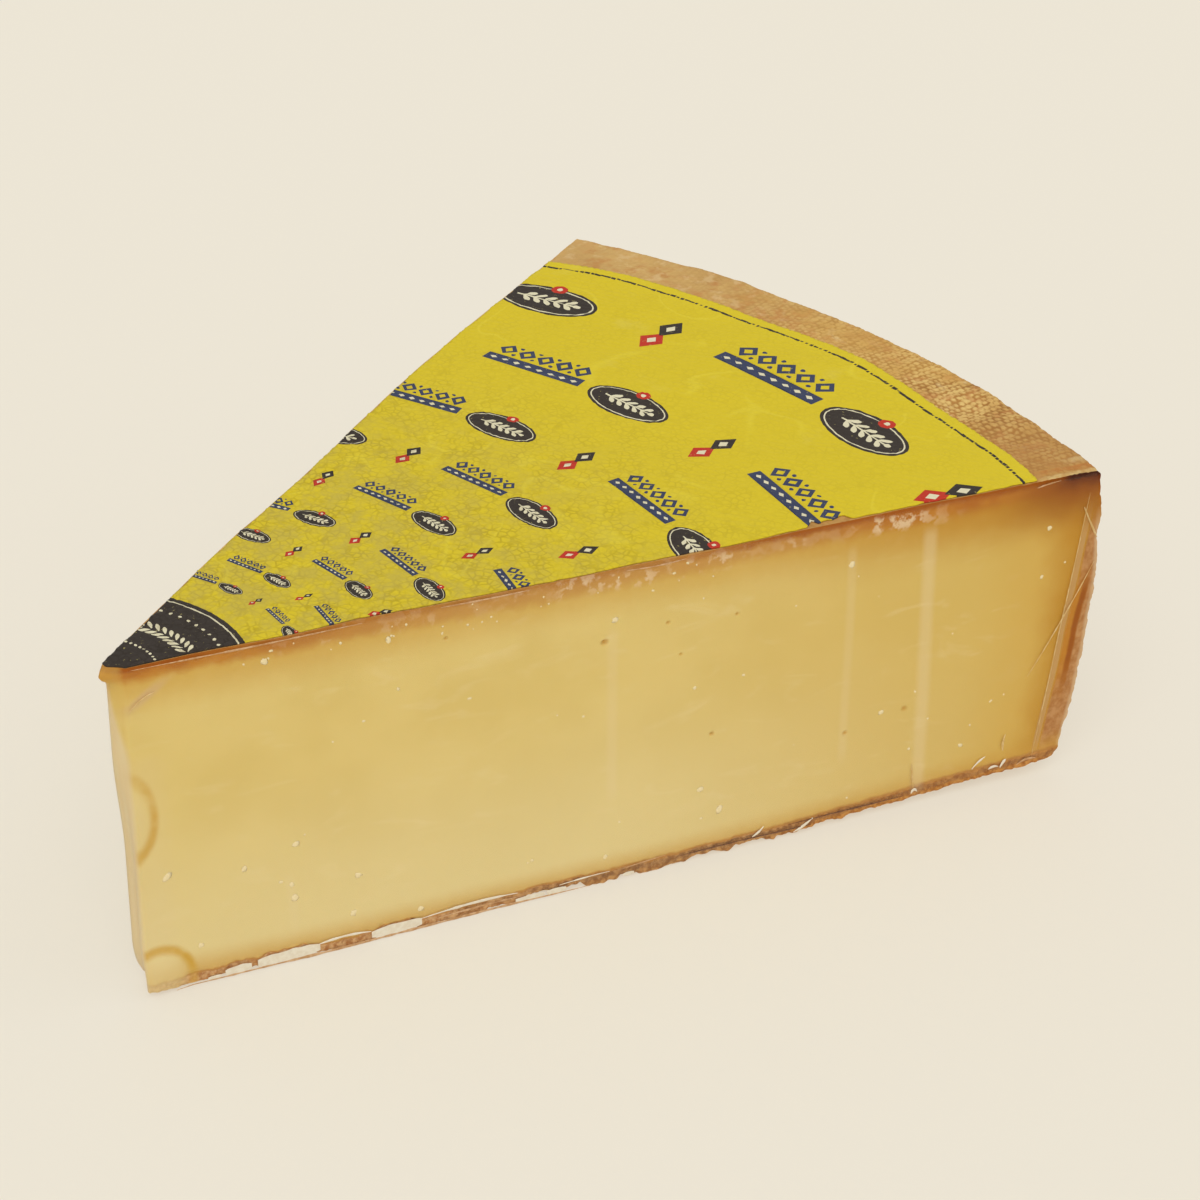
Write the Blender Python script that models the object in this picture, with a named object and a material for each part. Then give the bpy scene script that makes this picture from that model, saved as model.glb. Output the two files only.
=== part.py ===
"""A wedge of hard cheese cut from a pressed wheel.

Three pieces: the cheese with its rind, the paper label on its top, and the cling film over its cut sides.
Shapes are worked out in millimetres from the wheel's axis, where the two cut sides would meet. In the scene
the wedge stands on z = 0 with its tip towards -X and its heel, the wheel's outer side, towards +X.
"""

import math

import bpy
import numpy as np

METRES = 0.001

# The wheel, in millimetres
HEIGHT = 108.0
HEEL_REACH = 305.6
HEEL_WIDEST_AT = 59.0
HEEL_BULGE = 0.0016
TOP_ROUNDING = 2.6
BOTTOM_ROUNDING = 3.0

# The underside: flat where it stands, lifted a little at the tip and towards the heel
TIP_LIFT_UP_TO = 15.0
FLAT_FROM = 70.0
FLAT_TO = 190.0
TIP_LIFT = 1.2
HEEL_LIFT = 4.8
HEEL_LIFT_POWER = 1.1

# The cut: the angle between the sides, the blunt tip, and the bow of the far side
CUT_ANGLE = math.radians(42.3)
TIP_RADIUS = 7.6
TIP_SLANT = 1.9
TIP_ROUNDING = 0.8
TIP_CHAMFER_HEIGHT = 16.0
TIP_CHAMFER_DEPTH = 5.0
TIP_CHAMFER_FULL_AT = 0.7
TIP_LEAN = 2.8
TIP_LEAN_FROM = 80.0
TIP_LEAN_FULL_AT = 45.0
TIP_KNOB = 3.6
TIP_KNOB_HEIGHT = 105.6
TIP_KNOB_HALF = 2.4
CUT_LENGTH = 301.0
FAR_SIDE_BOW = (3.9, -0.3, 0.3, 0.7)

# Chips broken from the lower edge of the near side: middle, half length and height of each
CHIPS = (
    (34.0, 3.6, 1.7),
    (48.6, 8.8, 2.6),
    (80.8, 7.4, 2.6),
    (112.0, 4.0, 0.8),
    (125.5, 6.5, 1.6),
    (135.0, 5.0, 1.3),
    (153.5, 3.5, 1.0),
    (178.5, 6.0, 1.3),
    (193.0, 7.0, 1.3),
    (219.0, 4.0, 0.9),
    (231.0, 6.0, 0.5),
    (272.0, 9.0, 0.5),
)
CHIP_DEPTH = 4.0
CHIP_REACH_UP = 6.0

# Gentle unevenness, as (height, length along, length across, phase) of each wave, fading out at the tip
WAVES_FROM = 12.0
WAVES_FULL_AT = 42.0
FAR_SIDE_SHIFT = 200.0
CUT_WAVES = (
    (0.20, 150.0, 95.0, 0.4),
    (0.12, 74.0, -66.0, 2.1),
    (0.05, 37.0, 48.0, 4.0),
)
TOP_WAVES = (
    (0.22, 120.0, 90.0, 1.1),
    (0.12, 52.0, -61.0, 3.3),
    (0.07, 31.0, 27.0, 5.2),
)
HEEL_SHARE = 0.1
HEEL_WAVES = (
    (0.35, 62.0, 80.0, 2.6),
    (0.25, 33.0, -41.0, 2.6),
    (0.12, 21.0, 24.0, 4.4),
)

# The label, cut through together with the cheese
LABEL_REACH = 279.0
LABEL_BOW = 3.4
LABEL_RIPPLE = 0.9
LABEL_RIPPLES = 5
LABEL_RIPPLE_PHASE = 0.8
LABEL_STEPS = 44
LABEL_THICKNESS = 0.4

# The film, which stops short of the rounded heel in a thicker folded band
FILM_THICKNESS = 0.3
FILM_LOW = 2.0
FILM_TOP = 107.4
FILM_END_LOW = 293.2
FILM_END_SLOPE = 0.088
FILM_END_INSET = 1.2
FOLD_INSET = 3.0
FOLD_WIDTH = 2.6
FOLD_HEIGHT = 0.7

# Shares of the film's path from the middle of the tip to the heel: up to the tip's corner, and to the fold
FILM_TIP_SHARE = 0.01
FOLD_SHARE = 0.97
FILM_STEPS = 26
FOLD_STEPS = 7
TIP_STEPS = 6

# Free space between pieces that touch
GAP = 0.3

# Where the lines of the cheese's surface lie, as shares of its length, width and height
LENGTH_STEPS = 52
LENGTH_SPREAD = 1.08
ROUNDING_STEPS = 3
ROUNDING_SHARE = 0.02
WIDTH_SHARES = (0, 0.02, 0.06, 0.13, 0.22, 0.33, 0.45, 0.57, 0.68, 0.78, 0.87, 0.94, 0.98, 1)
LOW_HEIGHT_SHARES = (0, 0.012, 0.03, 0.06, 0.1, 0.17)
HEIGHT_SHARES = LOW_HEIGHT_SHARES + (0.26, 0.35, 0.44, 0.53, 0.62, 0.71, 0.8, 0.88)
FILM_HEIGHT_SHARES = (0, 0.03, 0.07, 0.12, 0.2, 0.35, 0.5, 0.65, 0.8, 0.88)
LOW_SHARE = 0.1
HIGH_SHARE = 0.97

# Heights of the lines over the tip's knob, alike in the cheese and the film so that they stay clear there
KNOB_LINES = (100.4, 103.0, 105.6)

NEAR_OUT = np.array([-math.sin(CUT_ANGLE / 2), -math.cos(CUT_ANGLE / 2)])
FAR_OUT = np.array([-math.sin(CUT_ANGLE / 2), math.cos(CUT_ANGLE / 2)])


def ease(x):
    """Goes smoothly from 0 to 1 as x does."""
    t = np.clip(x, 0.0, 1.0)
    return t * t * (3.0 - 2.0 * t)


def waves(along, across, table):
    total = np.zeros_like(along)
    for height, length, width, phase in table:
        total += height * np.sin(2 * math.pi * (along / length + across / width) + phase)
    return total


def underside(reach):
    """Height of the underside at a distance from the wheel's axis."""
    tip = TIP_LIFT * (1.0 - ease((reach - TIP_LIFT_UP_TO) / (FLAT_FROM - TIP_LIFT_UP_TO)))
    rounding_starts = bulge(HEEL_LIFT + BOTTOM_ROUNDING) - BOTTOM_ROUNDING
    ahead = np.clip((reach - FLAT_TO) / (rounding_starts - FLAT_TO), 0.0, 1.0)
    return tip + HEEL_LIFT * ahead**HEEL_LIFT_POWER


def bulge(height):
    return HEEL_REACH - HEEL_BULGE * (height - HEEL_WIDEST_AT) ** 2


def heel_reach(height):
    """Distance from the axis to the heel's outside, with its rounded top and bottom."""
    high = HEIGHT - TOP_ROUNDING
    low = HEEL_LIFT + BOTTOM_ROUNDING
    over = np.clip(height - high, 0.0, TOP_ROUNDING)
    under = np.clip(low - height, 0.0, BOTTOM_ROUNDING)
    reach = bulge(np.clip(height, low, high))
    reach = reach - TOP_ROUNDING + np.sqrt(TOP_ROUNDING**2 - over**2)
    return reach - BOTTOM_ROUNDING + np.sqrt(BOTTOM_ROUNDING**2 - under**2)


def tip_reach(height, across):
    """Distance from the axis to the blunt tip.

    Its face slants. On the far side it leans back lower down, has a small knob by the top, and has lost its
    lower corner.
    """
    flat = math.cos(CUT_ANGLE / 2) / np.cos((across - 0.5) * CUT_ANGLE)
    rounding = TIP_ROUNDING * (1.0 - (2.0 * across - 1.0) ** 2)
    share = np.clip(1.0 - height / TIP_CHAMFER_HEIGHT, 0.0, 1.0)
    lean = TIP_LEAN * ease((TIP_LEAN_FROM - height) / (TIP_LEAN_FROM - TIP_LEAN_FULL_AT))
    knob = TIP_KNOB * np.exp(-(((height - TIP_KNOB_HEIGHT) / TIP_KNOB_HALF) ** 2))
    back = (TIP_CHAMFER_DEPTH * share**2 + lean - knob) * ease(across / TIP_CHAMFER_FULL_AT)
    return (TIP_RADIUS + TIP_SLANT * (0.5 - across)) * flat - rounding + back


def top_line(along, across):
    """The upper outline from the tip to halfway round the upper rounding."""
    high = HEIGHT - TOP_ROUNDING
    start = tip_reach(HEIGHT, across)
    end = bulge(high) - TOP_ROUNDING
    flat = np.clip(along / (1.0 - ROUNDING_SHARE), 0.0, 1.0)
    turn = np.clip((along - 1.0 + ROUNDING_SHARE) / ROUNDING_SHARE, 0.0, 1.0) * math.pi / 4
    reach = start + (end - start) * flat + TOP_ROUNDING * np.sin(turn)
    return reach, high + TOP_ROUNDING * np.cos(turn)


def bottom_line(along, across):
    """The lower outline from the tip to halfway round the lower rounding."""
    low = HEEL_LIFT + BOTTOM_ROUNDING
    start = tip_reach(0.0, across)
    end = bulge(low) - BOTTOM_ROUNDING
    flat = np.clip(along / (1.0 - ROUNDING_SHARE), 0.0, 1.0)
    turn = np.clip((along - 1.0 + ROUNDING_SHARE) / ROUNDING_SHARE, 0.0, 1.0) * math.pi / 4
    reach = start + (end - start) * flat
    height = np.where(turn > 0.0, low - BOTTOM_ROUNDING * np.cos(turn), underside(reach))
    return reach + BOTTOM_ROUNDING * np.sin(turn), height


def tip_line(up, across):
    lift = underside(tip_reach(0.0, across))
    height = lift + (HEIGHT - lift) * up
    return tip_reach(height, across), height


def heel_line(up):
    """The heel's outline, from halfway round its lower rounding to halfway round its upper one."""
    low = HEEL_LIFT + BOTTOM_ROUNDING
    high = HEIGHT - TOP_ROUNDING
    lower = (1.0 - np.clip(up / LOW_SHARE, 0.0, 1.0)) * math.pi / 4
    upper = np.clip((up - HIGH_SHARE) / (1.0 - HIGH_SHARE), 0.0, 1.0) * math.pi / 4
    middle = low + (high - low) * np.clip((up - LOW_SHARE) / (HIGH_SHARE - LOW_SHARE), 0.0, 1.0)
    reach = bulge(middle) - BOTTOM_ROUNDING * (1 - np.cos(lower)) - TOP_ROUNDING * (1 - np.cos(upper))
    return reach, middle - BOTTOM_ROUNDING * np.sin(lower) + TOP_ROUNDING * np.sin(upper)


def section(along, across, up):
    """Distance from the axis and height of a point of the wedge, blended from its four outlines."""
    sides = (bottom_line(along, across), top_line(along, across), tip_line(up, across), heel_line(up))
    zero = np.zeros_like(along)
    corners = (
        bottom_line(zero, across),
        bottom_line(zero + 1.0, across),
        top_line(zero, across),
        top_line(zero + 1.0, across),
    )
    blended = []
    for part in range(2):
        low, high, tip, heel = (line[part] for line in sides)
        low_tip, low_heel, high_tip, high_heel = (corner[part] for corner in corners)
        ruled = (1 - up) * low + up * high + (1 - along) * tip + along * heel
        lower = (1 - along) * low_tip + along * low_heel
        upper = (1 - along) * high_tip + along * high_heel
        blended.append(ruled - (1 - up) * lower - up * upper)
    return blended


def wave_strength(reach):
    return ease((reach - WAVES_FROM) / (WAVES_FULL_AT - WAVES_FROM))


def near_bow(reach, height):
    """How far the near cut side stands out from its plane."""
    return waves(reach, height, CUT_WAVES) * wave_strength(reach)


def far_bow(reach, height):
    """How far the far cut side stands out from its plane."""
    share = np.clip(reach / CUT_LENGTH, 0.0, 1.0)
    total = waves(reach + FAR_SIDE_SHIFT, height, CUT_WAVES) * wave_strength(reach)
    for count, size in enumerate(FAR_SIDE_BOW, start=1):
        total += size * np.sin(count * math.pi * share)
    return total


def plan_place(reach, across, height):
    """Plan position at a distance from the axis, across from the near cut (0) to the far one (1)."""
    angle = (across - 0.5) * CUT_ANGLE
    near = near_bow(reach, height) * (1.0 - across) ** 2
    far = far_bow(reach, height) * across**2
    x = reach * np.cos(angle) + near * NEAR_OUT[0] + far * FAR_OUT[0]
    y = reach * np.sin(angle) + near * NEAR_OUT[1] + far * FAR_OUT[1]
    return x, y


def top_height(x, y):
    return HEIGHT + waves(x, y, TOP_WAVES)


def chipped(reach, across, height):
    """Lifts the lower edge of the near side where pieces have broken off."""
    chip = np.zeros_like(reach)
    for middle, half, size in CHIPS:
        chip = np.maximum(chip, size * (1.0 - ease((np.abs(reach - middle) - half * 0.5) / (half * 0.5))))
    inward = np.clip(1.0 - reach * across * CUT_ANGLE / CHIP_DEPTH, 0.0, 1.0)
    return height + chip * inward * np.clip(1.0 - height / CHIP_REACH_UP, 0.0, 1.0)


def cheese_place(along, across, up):
    reach, height = section(along, across, up)
    lumps = waves(reach * (across - 0.5) * CUT_ANGLE, height, HEEL_WAVES)
    on_heel = ease((along - 1.0 + HEEL_SHARE) / HEEL_SHARE)
    reach = reach + lumps * on_heel * np.sin(math.pi * np.clip(height / HEIGHT, 0.0, 1.0))
    height = chipped(reach, across, height)
    x, y = plan_place(reach, across, height)
    relief = top_height(x, y) - HEIGHT
    return np.stack([x, y, height + relief * ease((up - 0.5) / 0.5)], axis=1)


def label_place(along, across, up):
    start = tip_reach(HEIGHT, across) + GAP
    ripple = LABEL_RIPPLE * np.sin(LABEL_RIPPLES * math.pi * across + LABEL_RIPPLE_PHASE)
    end = LABEL_REACH + LABEL_BOW * np.sin(math.pi * across) + ripple
    reach = start + (end - start) * along
    inset = GAP / (reach * CUT_ANGLE)
    x, y = plan_place(reach, inset + across * (1.0 - 2.0 * inset), HEIGHT)
    return np.stack([x, y, top_height(x, y) + GAP + LABEL_THICKNESS * up], axis=1)


def film_end(height):
    """Distance from the axis to the film's edge near the heel."""
    return np.minimum(FILM_END_LOW + FILM_END_SLOPE * height, heel_reach(height) - FILM_END_INSET)


def film_place(path, up, out):
    """Path runs from the heel end of the far side (-1) round the tip to the heel end of the near side (1)."""
    side = np.abs(path)
    around = np.clip(side / FILM_TIP_SHARE, 0.0, 1.0) * np.sign(path)
    across = 0.5 - 0.5 * around
    beyond = np.clip((side - FILM_TIP_SHARE) / (1.0 - FILM_TIP_SHARE), 0.0, 1.0)
    height = np.full_like(path, HEIGHT / 2)
    # Height and distance from the axis depend on each other a little, so they are settled in turns
    for _ in range(3):
        start = tip_reach(height, across)
        reach = start + (film_end(height) - start) * beyond
        lowest = underside(reach) + FILM_LOW
        height = lowest + (FILM_TOP - lowest) * up
    x, y = plan_place(reach, across, height)
    fold = 1.0 - ease(np.abs(reach - film_end(height) + FOLD_INSET) / FOLD_WIDTH)
    away = GAP + (FILM_THICKNESS + FOLD_HEIGHT * fold * (path > 0.0)) * out
    on_tip = side < FILM_TIP_SHARE + 1e-6
    on_side = side > FILM_TIP_SHARE - 1e-6
    corner = on_tip & on_side
    # A corner point goes out along both sides' directions at once, as far as keeps the film's thickness
    away = away / np.where(corner, 1.0 - NEAR_OUT[0], 1.0)
    side_y = np.where(path > 0.0, NEAR_OUT[1], FAR_OUT[1])
    x = x + away * (on_side * NEAR_OUT[0] - on_tip)
    y = y + away * on_side * side_y
    return np.stack([x, y, height], axis=1)


def height_lines(shares, low, high, last):
    """Height shares of a piece that is from low to high at the tip, with the lines over the knob."""
    knob = (np.array(KNOB_LINES) - low) / (high - low)
    return np.concatenate([shares, knob, last])


def cheese_lines():
    straight = 1.0 - ROUNDING_SHARE
    main = straight * np.linspace(0.0, 1.0, LENGTH_STEPS) ** LENGTH_SPREAD
    rounding = np.linspace(straight, 1.0, ROUNDING_STEPS + 1)[1:]
    film_top = (FILM_TOP - TIP_LIFT) / (HEIGHT - TIP_LIFT)
    height = height_lines(HEIGHT_SHARES, TIP_LIFT, HEIGHT, [film_top, 1.0])
    return np.concatenate([main, rounding]), np.array(WIDTH_SHARES, float), height


def label_lines():
    width = np.array(WIDTH_SHARES[:1] + WIDTH_SHARES[2:-2] + WIDTH_SHARES[-1:], float)
    return np.linspace(0.0, 1.0, LABEL_STEPS), width, np.array([0.0, 1.0])


def film_lines():
    plain = np.linspace(FILM_TIP_SHARE, FOLD_SHARE, FILM_STEPS)
    folded = np.linspace(FOLD_SHARE, 1.0, FOLD_STEPS + 1)[1:]
    side = np.concatenate([plain, folded])
    tip = np.linspace(-FILM_TIP_SHARE, FILM_TIP_SHARE, TIP_STEPS + 1)[1:-1]
    path = np.concatenate([-side[::-1], tip, side])
    height = height_lines(FILM_HEIGHT_SHARES, TIP_LIFT + FILM_LOW, FILM_TOP, [1.0])
    return path, height, np.array([0.0, 1.0])


def block_triangles(counts):
    """Corner triples of the triangles on the outside of a block of cells, all facing outwards."""
    triangles = []
    for axis in range(3):
        first, second = (axis + 1) % 3, (axis + 2) % 3
        for side in (0, counts[axis] - 1):
            for i in range(counts[first] - 1):
                for j in range(counts[second] - 1):
                    corners = []
                    for step_i, step_j in ((0, 0), (1, 0), (1, 1), (0, 1)):
                        corner = [side, side, side]
                        corner[first] = i + step_i
                        corner[second] = j + step_j
                        corners.append(tuple(corner))
                    for pick in ((0, 1, 2), (0, 2, 3)):
                        turned = pick if side else pick[::-1]
                        triangles.append([corners[index] for index in turned])
    return triangles


def block_object(name, lines, place, material, parent):
    """A solid whose surface is a block of cells, put in place by a function of the three shares."""
    triangles = block_triangles([len(line) for line in lines])
    corners = sorted({corner for triangle in triangles for corner in triangle})
    index = {corner: count for count, corner in enumerate(corners)}
    picked = np.array(corners)
    shares = [lines[axis][picked[:, axis]] for axis in range(3)]
    points = place(*shares) * METRES
    mesh = bpy.data.meshes.new(name)
    faces = [[index[corner] for corner in triangle] for triangle in triangles]
    mesh.from_pydata(points.tolist(), [], faces)
    mesh.materials.append(material)
    mesh.shade_smooth()
    mesh.set_sharp_from_angle(angle=math.radians(35))
    thing = bpy.data.objects.new(name, mesh)
    bpy.context.collection.objects.link(thing)
    thing.parent = parent
    return thing


def finish(name, colour, roughness, alpha=1.0):
    """A plain material from an sRGB colour of 0 to 255."""
    material = bpy.data.materials.new(name)
    material.use_nodes = True
    shader = material.node_tree.nodes["Principled BSDF"]
    linear = [((value / 255 + 0.055) / 1.055) ** 2.4 for value in colour]
    shader.inputs["Base Color"].default_value = (*linear, 1.0)
    shader.inputs["Roughness"].default_value = roughness
    shader.inputs["Metallic"].default_value = 0.0
    shader.inputs["Alpha"].default_value = alpha
    return material


def clear_scene():
    for thing in list(bpy.data.objects):
        bpy.data.objects.remove(thing, do_unlink=True)


def centre_on_origin(axis, things):
    """Moves the wheel's axis so that the pieces' box is centred over the origin."""
    points = [vertex.co for thing in things for vertex in thing.data.vertices]
    for part in range(2):
        values = [point[part] for point in points]
        axis.location[part] = -(min(values) + max(values)) / 2


def main():
    clear_scene()
    axis = bpy.data.objects.new("wheel_axis", None)
    bpy.context.collection.objects.link(axis)
    paste = finish("paste", (214, 188, 122), 0.45)
    paper = finish("paper", (203, 184, 54), 0.7)
    clear = finish("cling_film", (222, 205, 165), 0.25, alpha=0.35)
    cheese = block_object("cheese", cheese_lines(), cheese_place, paste, axis)
    label = block_object("label", label_lines(), label_place, paper, axis)
    film = block_object("film", film_lines(), film_place, clear, axis)
    centre_on_origin(axis, (cheese, label, film))


main()
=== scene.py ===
"""The looks of a wedge of hard cheese: paste and rind, the printed paper label on top, and the cling film over
the cut sides. Shapes are worked out in millimetres from the wheel's axis, where the two cut sides would meet."""
import math

import bmesh
import bpy
import numpy as np
from mathutils import Matrix, Vector, kdtree
from mathutils.geometry import delaunay_2d_cdt


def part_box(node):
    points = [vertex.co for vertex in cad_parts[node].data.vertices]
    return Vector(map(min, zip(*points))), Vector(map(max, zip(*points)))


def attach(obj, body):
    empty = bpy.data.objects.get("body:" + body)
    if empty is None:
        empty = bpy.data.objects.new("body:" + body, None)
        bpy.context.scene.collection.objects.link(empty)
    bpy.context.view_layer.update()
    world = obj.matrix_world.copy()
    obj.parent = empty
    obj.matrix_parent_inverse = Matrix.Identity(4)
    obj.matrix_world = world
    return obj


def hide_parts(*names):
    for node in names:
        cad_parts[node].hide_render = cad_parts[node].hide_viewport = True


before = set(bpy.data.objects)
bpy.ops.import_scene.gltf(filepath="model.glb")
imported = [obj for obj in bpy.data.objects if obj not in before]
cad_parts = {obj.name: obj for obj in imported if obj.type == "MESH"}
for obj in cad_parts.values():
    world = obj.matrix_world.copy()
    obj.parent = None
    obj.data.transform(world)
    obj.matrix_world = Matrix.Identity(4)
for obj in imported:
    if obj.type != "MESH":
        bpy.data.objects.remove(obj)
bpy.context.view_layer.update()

METRES = 0.001

# The wheel and the cut, as in the solid model
HEIGHT = 108.0
HEEL_REACH = 305.6
HEEL_WIDEST_AT = 59.0
HEEL_BULGE = 0.0016
TOP_ROUNDING = 2.6
BOTTOM_ROUNDING = 3.0
TIP_LIFT = 1.2
TIP_LIFT_UP_TO = 15.0
FLAT_FROM = 70.0
FLAT_TO = 190.0
HEEL_LIFT = 4.8
HEEL_LIFT_POWER = 1.1
CUT_ANGLE = math.radians(42.3)
TIP_RADIUS = 7.6
TIP_SLANT = 1.9
TIP_ROUNDING = 0.8
TIP_CHAMFER_HEIGHT = 16.0
TIP_CHAMFER_DEPTH = 5.0
TIP_CHAMFER_FULL_AT = 0.7
TIP_LEAN = 2.8
TIP_LEAN_FROM = 80.0
TIP_LEAN_FULL_AT = 45.0
TIP_KNOB = 3.6
TIP_KNOB_HEIGHT = 105.6
TIP_KNOB_HALF = 2.4
CUT_LENGTH = 301.0
FAR_SIDE_BOW = (3.9, -0.3, 0.3, 0.7)

# Chips broken from the lower edge of the near side: middle, half length and height of each
CHIPS = (
    (34.0, 3.6, 1.7),
    (48.6, 8.8, 2.6),
    (80.8, 7.4, 2.6),
    (112.0, 4.0, 0.8),
    (125.5, 6.5, 1.6),
    (135.0, 5.0, 1.3),
    (153.5, 3.5, 1.0),
    (178.5, 6.0, 1.3),
    (193.0, 7.0, 1.3),
    (219.0, 4.0, 0.9),
    (231.0, 6.0, 0.5),
    (272.0, 9.0, 0.5),
)
CHIP_DEPTH = 4.0
CHIP_REACH_UP = 6.0
CHIP_CORE = 0.6
CHIP_RAGGEDNESS = 0.45
CHIP_ROUGHNESS = 0.5
CHIP_FINENESS = 1.2

# Gentle unevenness, as (height, length along, length across, phase) of each wave, fading out at the tip
WAVES_FROM = 12.0
WAVES_FULL_AT = 42.0
FAR_SIDE_SHIFT = 200.0
CUT_WAVES = (
    (0.20, 150.0, 95.0, 0.4),
    (0.12, 74.0, -66.0, 2.1),
    (0.05, 37.0, 48.0, 4.0),
)
TOP_WAVES = (
    (0.22, 120.0, 90.0, 1.1),
    (0.12, 52.0, -61.0, 3.3),
    (0.07, 31.0, 27.0, 5.2),
)
HEEL_SHARE = 0.1
HEEL_WAVES = (
    (0.35, 62.0, 80.0, 2.6),
    (0.25, 33.0, -41.0, 2.6),
    (0.12, 21.0, 24.0, 4.4),
)

# The label and the film, as in the solid model
LABEL_REACH = 279.0
LABEL_BOW = 3.4
LABEL_RIPPLE = 0.9
LABEL_RIPPLES = 5
LABEL_RIPPLE_PHASE = 0.8
FILM_LOW = 2.0
FILM_TOP = 107.4
FILM_END_LOW = 293.2
FILM_END_SLOPE = 0.088
FILM_END_INSET = 1.2
FILM_TIP_SHARE = 0.01

NEAR_OUT = np.array([-math.sin(CUT_ANGLE / 2), -math.cos(CUT_ANGLE / 2)])
FAR_OUT = np.array([-math.sin(CUT_ANGLE / 2), math.cos(CUT_ANGLE / 2)])

# The photograph's camera, from the wheel's axis in millimetres
CAMERA_PLACE = (-307.5, -467.6, 477.8)
CAMERA_AZIMUTH = math.radians(46.46)
CAMERA_FALL = math.radians(32.05)
CAMERA_ROLL = math.radians(2.3)
CAMERA_LENS = 78.4
SENSOR = 36.0

# The stage and its light
FLOOR_SIZE = 12.0
FLOOR_DROP = -0.0002
FLOOR_GLOW = 0.6
WORLD_LIGHT = 0.74

# Distances between neighbouring points of the cheese's and the label's surfaces
EDGE_SPACING = 0.8
LOW_EDGE_SPACING = 0.5
HEEL_SPACING = 0.84
RIM_SPACING = 0.66
PLAIN_SPACING = 3.0
HIDDEN_SPACING = 6.0
EYE_SPACING = 0.4
EYE_MARGIN = 1.0
TIP_ACROSS_SPACING = 0.12
TIP_UP_SPACING = 1.2
LABEL_SPACING = 0.82
LABEL_EDGE_SPACING = 0.7
LABEL_CLEARANCE = 0.22
RIM_FROM = 274.0
FINE_STRIP = 5.5
FINE_TIP = 24.0

# The cloth that the wheel was pressed in: its pitch, how unevenly it lay, and how deep it marked the rind
CLOTH_PITCH = 2.15
CLOTH_WANDER = 1.6
CLOTH_DEPTH = 0.34
CLOTH_FADE = 0.65
RIND_LUMPS = 0.5
LABEL_CLOTH_DEPTH = 0.3
LABEL_CLOTH_TURN = (0.94, 0.34)
LABEL_SWELL = 0.12

# Rind that shows where it was cut through: how thick it is, how rough, and how worn beyond the film
RIND_THICKNESS = 4.2
CRUMBLE = 0.75
HEEL_CRUMBLE = 0.3
CORNER_KNOBS = 0.8
CORNER_WIDTH = 10.0
WEAR = 0.4
WEAR_WIDTH = 4.0
WEAR_LENGTH = 8.0
WEAR_POWER = 1.6

# Random fields, each as the seed of its draws and the size of its features
CHIP_ROUGH = (5, 1.9)
CHIP_PATCHES = (6, 6.0)
CHIP_FINE = (7, 1.3)
RIND_WEAVE = 11
LABEL_WEAVE = 31
BIG_LUMPS = (21, 6.0)
SMALL_LUMPS = (22, 2.6)
KNOBS = (23, 2.4)
LABEL_SWELLS = (35, 14.0)
LABEL_DIMPLES = (36, 5.0)
NEAR_RAGS = (41, 2.3)
NEAR_RAG_PATCHES = (42, 9.0)
TEAR_RAGS = (43, 1.5)
END_RAGS = (44, 1.4)
FAR_RAGS = (45, 2.3)
WRINKLES = (51, 4.0)
RIBBON_SEED = 60
RIBBON_PITCH = 2.2
CRUMBS = (71, 2.1)
FINE_CRUMBS = (72, 1.1)
EDGE_MARK_SEED = 8
CRYSTAL_SEED = 3

# Soft bulges of the near cut side by the tip: distance from the axis, height, half length, half height and size
BULGES = (
    (5.5, 60.0, 8.3, 14.5, 0.8),
    (12.3, 4.5, 9.6, 11.0, 1.1),
)
BULGE_POWER = 1.5

# Eyes of the near cut side: distance from the axis, height, radius and depth
EYES = (
    (142.7, 84.5, 1.7, 1.1),
    (161.9, 86.8, 1.0, 0.6),
    (95.6, 97.0, 0.9, 0.5),
    (183.5, 84.9, 0.9, 0.5),
    (178.2, 44.6, 1.2, 0.6),
    (166.5, 75.1, 0.8, 0.4),
    (242.8, 37.6, 1.6, 0.3),
    (223.1, 33.5, 1.3, 0.3),
)
EYE_FLATNESS = 1.15

# White crystals on the near cut side: distance from the axis, height and radius
CRYSTALS = (
    (79.4, 100.1, 0.8),
    (45.0, 101.7, 0.9),
    (51.9, 40.2, 1.1),
    (37.0, 35.9, 0.8),
    (15.7, 39.3, 1.0),
    (51.1, 21.7, 1.2),
    (50.4, 26.5, 0.7),
    (69.8, 24.3, 1.0),
    (68.1, 11.3, 1.1),
    (23.8, 13.3, 1.0),
    (88.2, 7.1, 1.0),
    (145.5, 91.3, 1.1),
    (219.7, 92.9, 1.1),
    (175.5, 25.6, 1.0),
    (182.3, 16.5, 1.0),
    (234.9, 38.1, 0.8),
    (171.7, 62.2, 0.7),
    (145.6, 9.4, 0.8),
    (286.4, 91.1, 0.75),
    (286.1, 74.2, 0.6),
    (264.7, 18.4, 0.9),
    (293.7, 77.8, 0.4),
)

# Other crystals: how many, whether on the far side, and the ranges of their distance, height and radius
MORE_CRYSTALS = (
    (26, 0.0, (25, 285), (6, 100), (0.25, 0.55)),
    (30, 0.0, (20, 175), (98, 106.5), (0.2, 0.45)),
    (48, 1.0, (25, 285), (6, 100), (0.3, 1.0)),
)
CRYSTAL_FLATNESS = 0.13
CRYSTAL_LENGTHS = (0.8, 1.6)
CRYSTAL_UNEVENNESS = (0.65, 1.25)


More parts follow.
